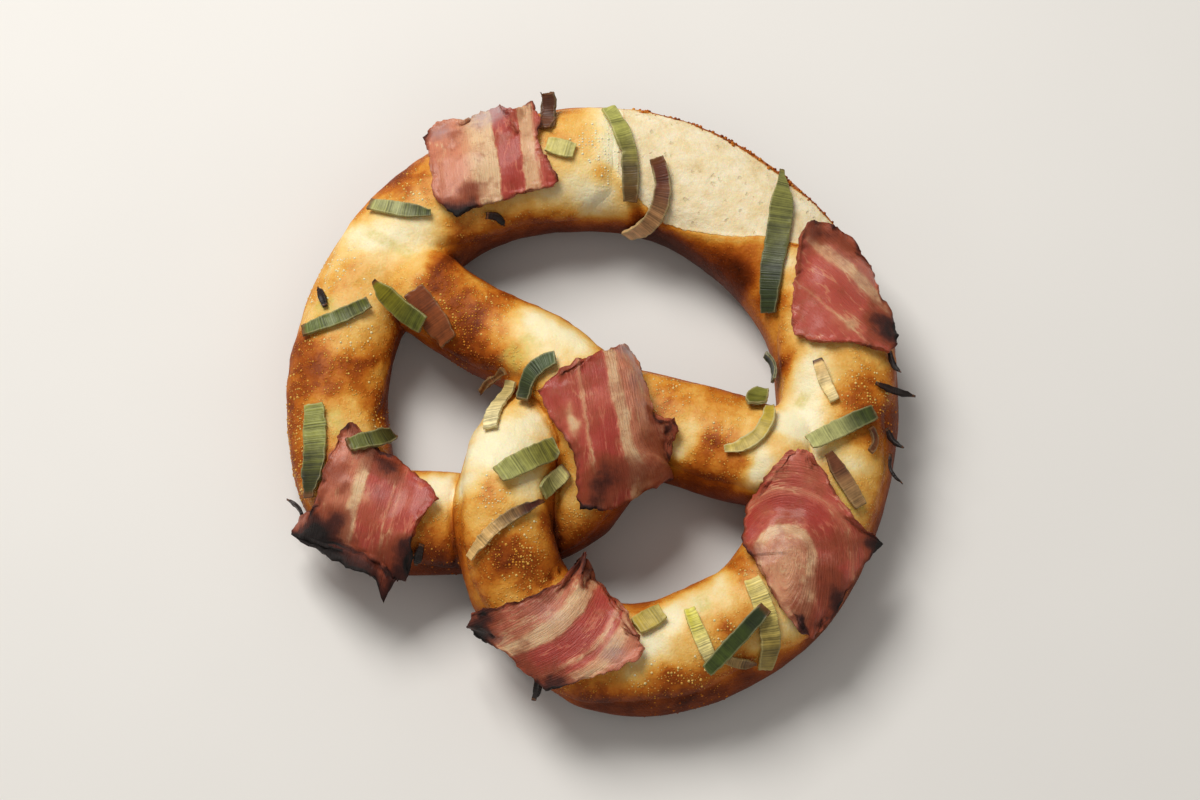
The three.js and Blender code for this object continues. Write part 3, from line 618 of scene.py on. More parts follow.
def makeCheese(form, source):
    tree = BVHTree.FromBMesh(mergedCopy("cheese"))
    mesh = source.data.copy()
    obj = bpy.data.objects.new("cheeseSkin", mesh)
    scene.collection.objects.link(obj)
    points, normals, brown = readPoints(mesh), readNormals(mesh), readValue(mesh, "brown")
    away = np.array([tree.find_nearest(Vector(p))[3] for p in points])
    away = away + waves(points, form["outline"][0], 9) + waves(points, form["outline"][1], 10)
    cover = (1 - ease(form["near"], form["far"], away)) * ease(0.0, 0.3, normals[:, 2])
    cover *= ease(0.6, 0.42, readValue(mesh, "crumb"))
    lift = form["edge"] + form["thick"] * cover
    bubble = waves(points, form["bubble"], 12) * ease(0.3, 0.6, brown)
    lift += (waves(points, form["blob"], 11) + bubble) * cover
    lift -= form["creaseSink"] * readValue(mesh, "crease") * cover
    writePoints(mesh, points + normals * lift[:, None])
    leaf = np.zeros(len(points))
    for x, y, length, width, heading in leekUnderCheese:
        along, across = turned(points[:, 0] / mm - x, points[:, 1] / mm - y, heading)
        leaf = np.maximum(leaf, ease(1.3, 0.7, np.maximum(abs(along / length * 2), abs(across / width * 2))))
    paint(mesh, leaf=leaf, blister=ease(0.3, 0.62, brown))
    paint(source.data, cover=cover)
    bm = bmesh.new()
    bm.from_mesh(mesh)
    bare = [face for face in bm.faces if max(cover[v.index] for v in face.verts) < form["leastCover"]]
    while bare:  # then what hangs on by one corner
        bmesh.ops.delete(bm, geom=bare, context="FACES")
        pinched = [vert for vert in bm.verts if sum(edge.is_boundary for edge in vert.link_edges) > 2]
        bare = list({face for vert in pinched for face in vert.link_faces})
    bm.to_mesh(mesh)
    bm.free()
    modify(obj, "wall", "SOLIDIFY", thickness=form["depth"], offset=-1)
    settle(obj)
    return obj


def makeCheeseMaterial():
    material, shader = newMaterial("meltedCheese")
    skin = useGroup(bakedSkin, "brown", "blister")
    veins = span(cloud(where(), 520), 0.35, 0.65, 0.25, 0.6)
    leaf = times(painted("leaf"), veins)
    wire(shader.inputs, {
        "Base Color": stain(leaf, skin["Color"], cheeseForm["leekTint"]),
        "Roughness": skin["Roughness"],
        "Coat Weight": span(painted("brown"), 0.2, 0.75, 0.12, 0.02),
        "Coat Roughness": 0.2,
        "Specular IOR Level": 0.13,
    })
    glow(shader, 0.25, 1.6 * mm)
    bump(shader, skin["Height"], 0.34 * mm)
    return material


meltedCheese = makeCheeseMaterial()
cheese = makeCheese(cheeseForm, bread)
print("cheese melted")


# blisters: beads of browned cheese, gathered where it browned most

blisterForm = {
    "small": 0.14 * mm, "large": 0.46 * mm, "mostlySmall": 2.2,
    "raised": -0.3,  # share of the radius
    # how much paler the beads are: partly their own colour, partly a painted highlight
    "paler": 0.3,
    "spread": 1.9,  # furthest bead, in reaches
    "facing": -0.5,  # none where the surface turns down more than this
    "bareCover": 0.05,  # less cheese than this, and the bead sits on the crust
    # x, y, reach in mm, number of beads
    "places": [
        (-53.5, 60, 4.5, 45), (-72.5, 37.5, 7, 120), (-78.5, 31, 4, 40), (-72.9, 12.5, 7.5, 90),
        (-83, 11, 3, 40), (-85, -8, 4, 60), (-85, -18, 4, 60), (-34.3, 20.5, 5.5, 110), (-36.5, 14, 4.5, 60),
        (-2.4, 73.2, 4, 60), (2.3, 66.8, 4.5, 80), (73.2, 0.9, 4.5, 65), (77, -5, 4, 45),
        (19.5, -0.7, 4.5, 50), (32.1, -12, 4.5, 35), (-30, -34, 4, 50), (-23.9, -48, 5.5, 100),
        (-19.7, -54, 4.5, 60), (-61.5, -5, 3, 35), (15.3, -82.5, 5.5, 80), (24, -82, 4, 45),
        (31.5, -83.5, 3.5, 40), (34.6, -71.1, 3, 30), (40.5, -53, 2.5, 20), (-44, 26, 4, 30),
        (-45, -45, 5, 30), (-86, 2, 3, 50), (-87, -5, 3.2, 80), (-87.3, -12, 3.2, 90), (-86.8, -20, 3.2, 80),
        (-85.5, -27, 3, 40),
    ],
}


def scatterBeads(name, form, points, normals, choice, brownOf):
    bm = bmesh.new()
    layer = bm.verts.layers.float.new("brown")
    for index in choice:
        size = form["small"] + (form["large"] - form["small"]) * dice.random() ** form["mostlySmall"]
        at = Matrix.Translation(points[index] + normals[index] * size * form["raised"])
        made = bmesh.ops.create_uvsphere(bm, u_segments=6, v_segments=4, radius=size, matrix=at)
        brown = brownOf(index)
        for vert in made["verts"]:
            vert[layer] = brown
    return newObject(name, bm)


def makeBlisters(form, skin, source):
    bare = readValue(source.data, "cover") < form["bareCover"]
    points, normals, brown = [np.concatenate((read(skin.data), read(source.data)[bare])) for read in
                              (readPoints, readNormals, lambda mesh: readValue(mesh, "brown"))]
    # beads paler than the skin under them, partly as a painted highlight
    brownOf = lambda index: brown[index] - form["paler"]
    patches = []
    for x, y, reach, count in form["places"]:
        away = np.hypot(points[:, 0] - x * mm, points[:, 1] - y * mm) / (reach * mm)
        near = np.nonzero((away < form["spread"]) & (normals[:, 2] > form["facing"]))[0]
        choice = dice.choices(list(near), weights=list(np.exp(-away[near] ** 2)), k=count)
        patches.append(scatterBeads("patch", form, points, normals, choice, brownOf))
    return joinUp("blisters", patches)


blisters = makeBlisters(blisterForm, cheese, bread)

# crumbs of crust along the torn outer rim of the burst

crumbForm = {
    "small": 0.18 * mm, "large": 0.62 * mm, "mostlySmall": 1.8, "count": 150,
    "raised": 0.1,  # share of the radius
    "brown": (0.58, 0.42),  # least, and how much more
    "outside": 1.0, "spread": 1.5,  # mm outside the rim, and to either side of that
    "leastTilt": 20,
}


def makeCrustCrumbs(form, source):
    points, normals = readPoints(source.data), readNormals(source.data)
    sides, ends, tilt = burstDepth(points)
    near = abs(sides + form["outside"]) < form["spread"]
    rim = np.nonzero(near & (tilt > form["leastTilt"]) & (ends > 0))[0]
    choice = dice.choices(list(rim), k=form["count"])
    least, more = form["brown"]
    brownOf = lambda index: least + more * dice.random()
    return scatterBeads("crustCrumbs", form, points, normals, choice, brownOf)


crustCrumbs = makeCrustCrumbs(crumbForm, bread)
dress(bread, crust, "bread", "bread")
dress(cheese, meltedCheese, "cheese", "cheese")
dress(blisters, meltedCheese, "cheese")
dress(crustCrumbs, meltedCheese, "bread")


# thin slices: softened copies of the fitted ones, with a crisp rim

def isRim(edge, rimAngle=0.8):  # a sharper turn between faces, in radians
    return edge.calc_face_angle(0) > rimAngle


def softSlice(node, levels, prepare=None):
    bm = mergedCopy(node)
    bmesh.ops.join_triangles(bm, faces=bm.faces, angle_face_threshold=math.radians(60),
                             angle_shape_threshold=math.radians(150))
    if prepare:
        prepare(bm)
    crisp = bm.edges.layers.float.new("crease_edge")
    for edge in bm.edges:
        edge[crisp] = isRim(edge)
    obj = newObject(node + "_soft", bm)
    modify(obj, "soft", "SUBSURF", levels=levels, render_levels=levels)
    settle(obj)
    return obj


def rimDistance(mesh):
    bm = bmesh.new()
    bm.from_mesh(mesh)
    sharp = {vert.index: vert.co.copy() for edge in bm.edges if isRim(edge) for vert in edge.verts}
    tree = KDTree(len(sharp))
    for index, at in sharp.items():
        tree.insert(at, index)
    tree.balance()
    away = np.array([tree.find(vert.co)[2] for vert in bm.verts])
    bm.free()
    return away


def raggedRim(mesh, away, reach, push, size, seed):  # waves, and finer ones half as strong
    points = readPoints(mesh)
    near = 1 - ease(0, reach, away)
    shift = np.stack([lumps(points, size, seed + k) + 0.5 * lumps(points, size / 2.6, seed + 3 + k)
                      for k in range(3)], 1)
    writePoints(mesh, points + shift * push * near[:, None])


# bacon: streaky slices with browned frills and burnt tips

rasherForm = {
    "levels": 3,
    "frill": (2.4 * mm, 0.85 * mm, 2.8 * mm),  # reach from the rim, push, size of the waves
    "curl": (1.6 * mm, 0.7 * mm, 4.5 * mm),
    "buckle": (6 * mm, 0.5 * mm),
    "wrinkle": (2.8, 0.3 * mm),  # mm between wrinkles, which run with the streaks
    "rimFry": 0.5,
    "rimWidth": 1.3 * mm,
    "rimWander": (2.5 * mm, 0.5 * mm),
    "rimSpread": (5 * mm, 0.9),  # how unevenly the rim is fried
    "spotWander": ((5 * mm, 1.6), (1.8 * mm, 0.8)),  # size and reach in mm of the spots' uneven outlines
    "bandSpan": 60,  # mm that the banding covers
    "bandStretch": (0.07, 0.12),  # unevenness of the bands along and across, per mm
    "bandWander": 4.6,  # mm
    "arcStep": 16,  # mm for a radian along the arcs
    "bowMiddle": 5,  # mm along, where the bow starts
}
# middle: x and y in mm; heading of the streaks in degrees, or arcs about the middle; bow: how much they bend;
# bands: mm to the left of the heading, 0 fat to 1 lean; fry, sheen, fat, bulge: x, y, reach in mm, amount;
# pull: x, y, reach and shift in mm of a corner drawn further out
# sheen is a painted sheen, pale violet grey
rashers = [
    {
        "middle": (-30.2, 70), "heading": -83,
        "bands": [(-20, 0.45), (-16, 0.36), (-10, 0.34), (-7, 0.22), (-5, 0.06), (0.6, 0.04), (1.4, 0.9),
            (4, 1), (7.4, 0.92), (8.2, 0.15), (11.5, 0.14), (12.6, 0.55), (14, 0.9), (20, 0.95)],
        "fry": [(-43, 51, 4.5, 1), (-37.5, 53, 3.5, 0.8), (-35.6, 58.6, 3.5, 0.45), (-41.5, 76.6, 2.4, 0.3),
            (-49.5, 78.1, 2.5, 0.6), (-11.2, 61.8, 2, 0.7), (-24, 60, 3, 0.2), (-16.5, 76, 2, 0.4)],
        "ash": [(-32.6, 83.5, 4.5, 0.8), (-29.5, 86, 3, 0.8), (-45.4, 78.5, 3, 0.6)],
        "bulge": [(-41.5, 76.6, 2.6, 0.9), (-36, 66, 6, 0.6)],
    },
    {
        "middle": (-64.5, -34.5), "heading": -103,
        "bands": [(-30, 0.5), (-14, 0.45), (-5.4, 0.38), (-4, 0.08), (-1.8, 0.05), (-0.8, 0.85), (3, 0.95),
            (5.4, 0.85), (6.2, 0.4), (7.2, 0.8), (8.2, 0.45), (9.4, 0.9), (20, 1)],
        "fry": [(-84, -42, 5.5, 1), (-79, -45, 6, 0.95), (-72, -48.5, 5.5, 0.9), (-64.5, -51.5, 5, 0.8),
            (-59.2, -57.6, 4.5, 1.1), (-54, -52.5, 3.5, 0.7), (-53.3, -46.2, 3.4, 0.9), (-69, -10.7, 3, 0.5),
            (-57, -22.5, 3.6, 0.6), (-70.1, -29.6, 2, 0.25), (-71.5, -37.5, 3.2, 0.5), (-78, -38, 4.5, 0.6),
            (-62.5, -19.5, 4.5, 0.66), (-57, -26.5, 4, 0.22), (-73, -24, 5, 0.46), (-78.5, -30, 4, 0.32),
            (-75.7, -41.7, 4, 0.2), (-59, -45, 4, 0.3), (-69, -39, 4, 0.15)],
        "ash": [(-60, -31, 3, 0.2)], "fat": [(-56, -43, 2.5, 0.4), (-64.5, -33, 3, 0.6), (-53, -33, 3, 0.35)],
        "bulge": [(-70, -28, 6, 0.9)], "pull": [(-58, -54.9, 2.4, -1.3, -4.3, -2.5)],
    },
    {
        "middle": (66.9, 29), "heading": -42,
        "bands": [(-25, 0.76), (-19, 0.78), (-10, 0.76), (-7.8, 0.72), (-7, 0.3), (-6.2, 0.74), (0, 0.78),
            (3.2, 0.7), (4.4, 0.2), (7.2, 0.15), (8.4, 0.5), (16, 0.55)],
        "fry": [(60.4, 45.9, 4.5, 0.4), (75.9, 38.9, 2.5, 0.5), (81.6, 16.4, 4, 0.75), (76.4, 26.8, 3, 0.3),
            (70, 41, 5, 0.36), (65.7, 46, 4, 0.42), (61.5, 42, 4, 0.12), (75.5, 20.6, 4, 0.3),
            (79.7, 20.5, 3.5, 0.55), (78.3, 15.7, 3, 0.3), (74.1, 13.4, 3, 0.3)],
        "ash": [(68, 37, 3, 0.15), (72.5, 32, 3, 0.2), (60, 45.5, 2.5, 0.45)],
        "fat": [(69.5, 18.5, 2.6, 0.8), (66, 20.5, 2, 0.4)], "bulge": [(72, 36, 5, 0.7)],
    },
    {
        "middle": (1, -15.4), "heading": -80,
        "bands": [(-24, 0.9), (-10, 0.95), (-5.4, 0.9), (-4.6, 0.35), (-4, 0.3), (-3.4, 0.9), (0, 1),
            (3.2, 0.95), (4.2, 0.15), (6.6, 0.1), (7.8, 0.36), (12, 0.3), (16, 0.45), (23, 0.6)],
        # some fry spots on the lower part of this slice are partly real frying, partly painted shade
        "fry": [(15, -17, 6, 0.42), (19, -24, 5, 0.5), (10, -27, 5, 0.32), (1, -28.5, 6, 0.66),
            (-3, -36, 5, 0.56), (20, -11, 3, 0.22), (14, -9, 2.5, 0.5), (-6.6, -19.8, 2.2, 0.4),
            (12, 3, 2.5, 0.3)],
        "ash": [(6.5, 11, 3, 0.8), (10, 0, 3, 0.3), (12, -8, 3, 0.4)],
        # the fat spots at (2, -6) and (-3, -8) are a painted highlight on the lean
        "fat": [(-8.9, -9.6, 1.5, 0.6), (-8, -12.6, 2, 0.8), (-7, -16, 2.5, 0.9), (-1, -36, 3.5, 0.4),
            (2, -6, 4, 0.25), (-3, -8, 5, 0.2), (-12.7, -13.5, 3, 0.25)], "bulge": [(9, 2, 4, 0.8)],
        "pull": [(15, -27, 5.5, 6.2, 3, -0.6), (18.4, -17.5, 3.6, 2.4, 0, 0)],
    },
    {
        "middle": (-12.1, -71.7), "heading": 46, "bow": -0.022,
        "bands": [(-24, 0.5), (-17, 0.35), (-15, 0.14), (-12.6, 0.25), (-11.6, 0.85), (-10.7, 0.8),
            (-10, 0.25), (-9.2, 0.35), (-8.4, 0.9), (-4, 1), (-1.8, 0.9), (-0.8, 0.15), (3, 0.08),
            (4.4, 0.38), (9, 0.46), (14, 0.55), (24, 0.7)],
        "fry": [(-33.5, -68.8, 4.5, 1.1), (-4.9, -51.5, 5, 0.45), (-2.4, -46, 3, 0.7),
            (-15.9, -88.8, 3.5, 1.1), (-15.2, -84, 5, 0.5), (-21.5, -79.5, 4.5, 0.36), (-10.5, -84, 4.5, 0.5),
            (-27, -64, 5, 0.34), (-14, -57, 5, 0.34), (-21, -60, 3, 0.3), (-15.5, -62, 4, 0.2),
            (-20, -68, 5, 0.14), (-22, -75, 4, 0.14)],
        "ash": [(-14, -66, 4, 0.25), (3.8, -76.6, 3, 0.5)], "fat": [(2.5, -74, 3, 0.6)],
        "bulge": [(-10, -66, 6, 0.7)], "pull": [(-5.4, -50, 2.6, 1.6, 2.6, 1.6)],
    },
    {
        "middle": (50.2, -49.1), "arcs": 0.35,
        "bands": [(0, 0.22), (4.4, 0.26), (5.8, 0.26), (6.6, 0.12), (8.6, 0.1), (9.7, 0.8), (12, 1),
            (16.5, 0.95), (17.8, 0.55), (19, 0.4), (20.2, 0.75), (25, 0.6), (30, 0.5)],
        "fry": [(76.7, -44.7, 4, 1), (39.1, -46.2, 4, 0.45), (61.5, -54.5, 5, 0.4), (56.4, -69.7, 3.5, 0.55),
            (66.5, -61.1, 5, 0.9), (56, -38.5, 3.5, 0.12), (52, -62, 5, 0.2), (43, -50, 4, 0.25),
            (56, -46, 5, 0.26), (56, -57, 4, 0.2), (56, -65, 4, 0.3), (65, -45, 5, 0.36), (70, -45, 5, 0.18)],
        "ash": [(50.2, -45.6, 3.6, 0.25)], "fat": [(47.5, -39, 3, 0.4), (57, -29, 2, 0.4)],
        "bulge": [(50, -48.5, 5.5, 1.4), (61, -54, 5, 0.6)],
    },
]

fleshLook = {
    "tones": [(0, (234, 202, 158)), (0.15, (225, 176, 133)), (0.32, (212, 138, 104)), (0.5, (200, 106, 82)),
              (0.75, (190, 85, 69)), (1, (171, 62, 50))],
    "fibre": (0.16, 2.4), "vein": (0.05, 0.2),  # along and across, per mm
    "blotches": ((150, 6.0, 0.65), (0.46, 0.66, 0.0, 0.55), (166, 84, 52)),  # cloud, span, tone
    "specks": ((850, 3.0, 0.6), (0.58, 0.72, 0.0, 0.35), (150, 72, 44)),
    # painted sheen: a pale violet grey on the bacon
    "ash": (186, 160, 160),
    "fried": [((0.08, 0.46, 0.0, 0.9), (142, 64, 36)), ((0.42, 0.82), (70, 27, 18)),
              ((0.78, 1.15), (22, 12, 10))],  # span, tone
    "fryCloud": (420, 4.0, 0.65), "fryReach": 0.4,
}


def streak(stretchAlong, stretchAcross, along, across):  # a place for noise that is drawn out along the slice
    return put("CombineXYZ", X=times(along, stretchAlong), Y=times(across, stretchAcross)).outputs[0]


def makeRasherFlesh(look):
    takes = {"Lean": 0.5, "Fry": 0.0, "Ash": 0.0, "Along": 0.0, "Across": 0.0}
    tree, given, out = newGroup("rasherFlesh", takes)
    place, lean = where(), given["Lean"]
    fibre, vein = [swing(streak(*look[key], given["Along"], given["Across"]), 1.0, 4.0, 0.6)
                   for key in ("fibre", "vein")]
    veins = span(calc("ABSOLUTE", vein), 0.030, 0.008)
    veins = times(veins, span(cloud(place, 110, 2.0), 0.42, 0.58))
    marbled = plus(minus(lean, times(veins, lean, 0.5)), times(fibre, 0.24))
    colour = toneRamp(marbled, look["tones"])
    for key in ("blotches", "specks"):
        noisy, limits, tone = look[key]
        colour = stain(span(cloud(place, *noisy), *limits), colour, tone)
    # painted sheen: pale violet grey patches where listed
    pale = times(given["Ash"], span(cloud(place, 300), 0.3, 0.6, 0.5, 1.0))
    colour, fry = frying(stain(pale, colour, look["ash"]), place, look, given["Fry"])
    wire(out, {
        "Color": colour,
        "Roughness": scaled(fibre, 0.25, span(fry, 0.2, 0.9, 0.38, 0.66)),
        "Height": scaled(fibre, 0.7, times(minus(fry, lean), 0.5)),
    })
    return tree


rasherFlesh = makeRasherFlesh(fleshLook)


def makeRasherMaterial(name, form, spec):
    material, shader = newMaterial(name)
    band = scaled(swing(streak(*form["bandStretch"], painted("along"), painted("across")), 1.0, 7.0, 0.72),
                  form["bandWander"], painted("across"))
    start = 0.0 if "arcs" in spec else 0.5
    stops = [(start + at / form["bandSpan"], (value, value, value, 1)) for at, value in spec["bands"]]
    lean = times(ramp(scaled(band, 1 / form["bandSpan"], start), stops), painted("flesh"))
    flesh = useGroup(rasherFlesh, "fry", "ash", "along", "across", Lean=lean)
    wire(shader.inputs, {
        "Base Color": flesh["Color"],
        "Roughness": flesh["Roughness"],
        "Coat Weight": span(painted("fry"), 0.1, 0.6, 0.16, 0.0),
        "Coat Roughness": 0.18,
        "Specular IOR Level": 0.32,
    })
    glow(shader, 0.2, 1.0 * mm)
    bump(shader, flesh["Height"], 0.6 * mm)
    return material


def makeRasher(number, form, spec, seed):
    node = "bacon_%d" % number
    obj = softSlice(node, form["levels"])
    obj.name = "bacon%dSlice" % number
    mesh = obj.data
    away = rimDistance(mesh)
    raggedRim(mesh, away, *form["frill"], seed)
    points = readPoints(mesh)
    plan = points[:, :2] / mm
    spotPlan = wandered(points, form["spotWander"], seed + 14, seed + 15)

    def places(key):
        spots = (amount * spot(spotPlan, *place) for *place, amount in spec.get(key, []))
        return sum(spots, np.zeros(len(plan)))

    dx, dy = plan[:, 0] - spec["middle"][0], plan[:, 1] - spec["middle"][1]
    if "arcs" in spec:
        across = np.hypot(dx, np.where(dy < 0, dy * spec["arcs"], dy))
        along = np.arctan2(dy, dx) * form["arcStep"]
    else:
        along, across = turned(dx, dy, spec["heading"])
        across += spec.get("bow", 0) * (along - form["bowMiddle"]) ** 2
    # the middle buckles, wrinkles and bulges, the rim curls up unevenly
    inside = ease(0, 4 * mm, away)
    lift = waves(points, form["buckle"], seed + 7) * inside
    streaks = np.stack([along * 0.3, across, along * 0], 1)
    lift += waves(streaks, form["wrinkle"], seed + 12) * (0.4 + 0.6 * inside)
    lift += places("bulge") * mm * ease(0, 2 * mm, away)
    reach, push, size = form["curl"]
    lift += push * np.maximum(lumps(points, size, seed + 8), 0) * (1 - ease(0, reach, away))
    points[:, 2] += lift
    for x, y, reach, *shift in spec.get("pull", []):
        points += spot(plan, x, y, reach)[:, None] * np.array(shift) * mm
    writePoints(mesh, points)
    rim = 1 - ease(0, form["rimWidth"], away + waves(points, form["rimWander"], seed + 9))
    fry = form["rimFry"] * rim * (0.7 + waves(points, form["rimSpread"], seed + 10)) + places("fry")
    # sheen: where the painted sheen is laid
    paint(mesh, along=along, across=across, fry=fry, ash=np.clip(places("ash"), 0, 1),
          flesh=1 - np.clip(places("fat"), 0, 0.9))
    dress(obj, makeRasherMaterial("bacon%dStreaks" % number, form, spec), "bacon", node)


for number, spec in enumerate(rashers, 1):
    makeRasher(number, rasherForm, spec, 9 + 11 * number)
print("bacon laid")


# leek: strips with fine ribs across them, green at one end and paler or browned at the other

def reachFrom(bm, starts):  # length along the edges from the nearest start
    far = [math.inf] * len(bm.verts)
    queue = []
    for vert in starts:
        far[vert.index] = 0
        heapq.heappush(queue, (0, vert.index))
    while queue:
        so, index = heapq.heappop(queue)
        if so > far[index]:
            continue
        for edge in bm.verts[index].link_edges:
            other = edge.other_vert(bm.verts[index])
            there = so + edge.calc_length()
            if there < far[other.index]:
                far[other.index] = there
                heapq.heappush(queue, (there, other.index))
    return far


def measureStrip(bm, pairGap=1.25 * mm):  # share of the length along the strip, from its left or back end
    share = bm.verts.layers.float.new("share")
    bm.verts.ensure_lookup_table()
    bm.verts.index_update()
    ends = []  # corners, the upper and the lower one of each taken together
    for vert in bm.verts:
        if sum(isRim(edge) for edge in vert.link_edges) < 3:
            continue
        twin = next((group for group in ends if (group[0].co - vert.co).length < pairGap), None)
        if twin:
            twin.append(vert)
        else:
            ends.append([vert])
    centre = lambda group: sum((vert.co for vert in group), Vector()) / len(group)
    if len(ends) == 4:
        gap = lambda a, b: (ends[a][0].co - ends[b][0].co).length
        pairs = ((0, 1, 2, 3), (0, 2, 1, 3), (0, 3, 1, 2))
        a, b, c, d = min(pairs, key=lambda o: gap(o[0], o[1]) + gap(o[2], o[3]))
        first, last = ends[a] + ends[b], ends[c] + ends[d]
    else:
        middle = centre(bm.verts)
        first = [max(bm.verts, key=lambda vert: (vert.co - middle).length)]
        far = reachFrom(bm, first)
        last = [max(bm.verts, key=lambda vert: far[vert.index])]
    step = centre(last) - centre(first)
    if (step.x < 0) if abs(step.x) >= abs(step.y) else (step.y > 0):
        first, last = last, first
    fromFirst, fromLast = reachFrom(bm, first), reachFrom(bm, last)
    for vert in bm.verts:
        a, b = fromFirst[vert.index], fromLast[vert.index]
        vert[share] = a / max(a + b, 1e-9)


leekForm = {
    "levels": 3,
    # width left at the first and the last end of the strips that run to a point
    "ends": {1: (1, 0.55), 3: (0.25, 1), 4: (1, 0.6), 11: (0.8, 0.4), 15: (0.25, 0.95), 16: (0.75, 1),
             17: (0.8, 0.6), 22: (0.7, 1), 28: (1, 0.4)},
    "cutEdges": {14: 1.4, 15: 0.7, 17: 2.3, 18: 1.6},  # how pale, where other than usual
    "ragged": {4: 1.5, 5: 1.5, 8: 1.6, 11: 1.6, 16: 3, 29: 1.8},
    # how strongly the ribs show on the smoother strips
    "ribs": {3: 0.5, 11: 0.6, 12: 0.35, 13: 0.6, 14: 0.6, 16: 0.6, 17: 0.2, 18: 0.55, 19: 0.5, 20: 0.5,
             21: 0.35, 22: 0.5, 23: 0.3, 24: 0.4, 26: 0.4, 29: 0.4},
}
usualStrip = {
    "rim": (1.2 * mm, 0.25 * mm, 2 * mm),  # reach from the rim, push, size of the waves
    "ribs": 0.85,
    "rimFry": (0.18, 0.5 * mm),  # strength, reach
    "cutEdge": (0.1 * mm, 0.45 * mm),
    "mixWander": (5 * mm, 0.12),
}
# screen colours of each strip at its left or back end and at the other, and how browned the two ends are
greenStrips = {
    1: ((152, 152, 92), (86, 92, 46), 0.5, 0.2), 2: ((92, 102, 42), (84, 88, 28), 0.5, 0.2),
    3: ((124, 116, 24), (92, 96, 34), 0.9, 0.2), 4: ((136, 138, 66), (48, 48, 14), 0.1, 0.6),
    5: ((94, 98, 44), (62, 58, 18), 0.5, 0.4), 6: ((76, 88, 58), (46, 54, 22), 0.1, 0.3),
    7: ((184, 163, 102), (232, 217, 164), 0.1, 0), 9: ((148, 148, 80), (118, 113, 44), 0.2, 0.1),
    10: ((188, 178, 112), (132, 132, 74), 0.5, 0.1), 12: ((192, 180, 98), (188, 178, 98), 0, 0),
    13: ((166, 165, 86), (88, 62, 26), 0.1, 0.35), 15: ((120, 119, 60), (48, 57, 30), 0.35, 0.1),
    17: ((172, 148, 42), (195, 170, 74), 0.3, 0), 18: ((122, 123, 54), (96, 98, 30), 0.1, 0.2),
    19: ((42, 51, 34), (46, 55, 36), 0.2, 0.2), 20: ((176, 175, 112), (64, 73, 30), 0, 0.25),
    21: ((222, 186, 122), (236, 210, 146), 0.8, 0), 24: ((172, 148, 54), (166, 146, 54), 0, 0),
    25: ((202, 192, 74), (229, 211, 138), 0, 0), 26: ((36, 46, 17), (68, 82, 27), 0.5, 0),
    27: ((208, 188, 104), (150, 128, 60), 0, 0.1),
}
brownStrips = {
    8: ((104, 62, 30), (122, 80, 40), 0.5, 0.1), 11: ((206, 166, 104), (78, 37, 25), 0, 0.7),
    14: ((92, 46, 27), (208, 160, 108), 0.5, 0.2), 16: ((74, 40, 23), (96, 54, 30), 0.7, 0.5),
    22: ((106, 60, 38), (156, 119, 76), 0.5, 0.1), 23: ((78, 40, 20), (110, 62, 30), 0.4, 0.2),
    28: ((162, 130, 76), (98, 64, 30), 0.1, 0.5), 29: ((120, 60, 28), (132, 70, 34), 0.2, 0.1),
}


def straighten(mesh):  # measures the strip along its middle line, so that its ribs run straight across
    points, share = readPoints(mesh), readValue(mesh, "share")
    stops = np.linspace(0, 1, 15)
    near = bell(share[:, None], stops, 0.06)
    spine = (near.T @ points) / near.sum(0)[:, None]
    steps = spine[1:] - spine[:-1]
    lengths = np.linalg.norm(steps, axis=1)
    starts = np.concatenate(([0], np.cumsum(lengths)))
    best, along = np.full(len(points), np.inf), np.zeros(len(points))
    for k, step in enumerate(steps):
        way = (points - spine[k]) @ step / lengths[k] ** 2
        way = np.clip(way, -9 if k == 0 else 0, 9 if k == len(steps) - 1 else 1)
        off = np.linalg.norm(points - spine[k] - way[:, None] * step, axis=1)
        closer = off < best
        best[closer], along[closer] = off[closer], (starts[k] + way * lengths[k])[closer]
    along -= along.min()
    paint(mesh, along=along / mm, share=along / along.max())


def taperEnds(mesh, first, last):  # narrows a strip towards its two ends
    points, share = readPoints(mesh), readValue(mesh, "share")
    slots = 20
    nearest = np.digitize(share, np.linspace(0, 1, slots + 1)[1:-1])
    used = np.unique(nearest)
    spine = np.array([points[nearest == k].mean(0) for k in used])
    middle = np.stack([np.interp(share, (used + 0.5) / slots, spine[:, k]) for k in range(3)], 1)
    width = 1 - (1 - first) * ease(0.32, 0.0, share) - (1 - last) * ease(0.68, 1.0, share)
    writePoints(mesh, middle + (points - middle) * width[:, None])


def makeStrip(node, form, number, look, seed, pale):
    obj = softSlice(node, form["levels"], measureStrip)
    mesh = obj.data
    away = rimDistance(mesh)
    straighten(mesh)
    taperEnds(mesh, *form["ends"].get(number, (1, 1)))
    reach, push, size = usualStrip["rim"]
    raggedRim(mesh, away, reach, push * form["ragged"].get(number, 1), size, seed)
    points, share = readPoints(mesh), readValue(mesh, "share")
    first, last, firstFry, lastFry = look
    mix = ease(0.2, 0.85, share + waves(points, usualStrip["mixWander"], seed + 4))[:, None]
    tint = np.array(linear(*first)) * (1 - mix) + np.array(linear(*last)) * mix
    fry = firstFry * (1 - ease(0.0, 0.16, share)) + lastFry * ease(0.84, 1.0, share)
    rimFry, reach = usualStrip["rimFry"]
    paint(mesh, tint=tint, ribs=np.full(len(points), form["ribs"].get(number, usualStrip["ribs"])),
          fry=fry + rimFry * (1 - ease(0, reach, away)),
          edge=form["cutEdges"].get(number, pale) * (1 - ease(*usualStrip["cutEdge"], away)))
    return obj


def makeStrips(name, kind, form, looks, material, slotName, seed, pale):
    nodes = ["%s_%02d" % (kind, number) for number in looks]
    strips = [makeStrip(node, form, number, looks[number], seed + 5 * k, pale)
              for k, (node, number) in enumerate(zip(nodes, looks))]
    dress(joinUp(name, strips), material, slotName, *nodes)


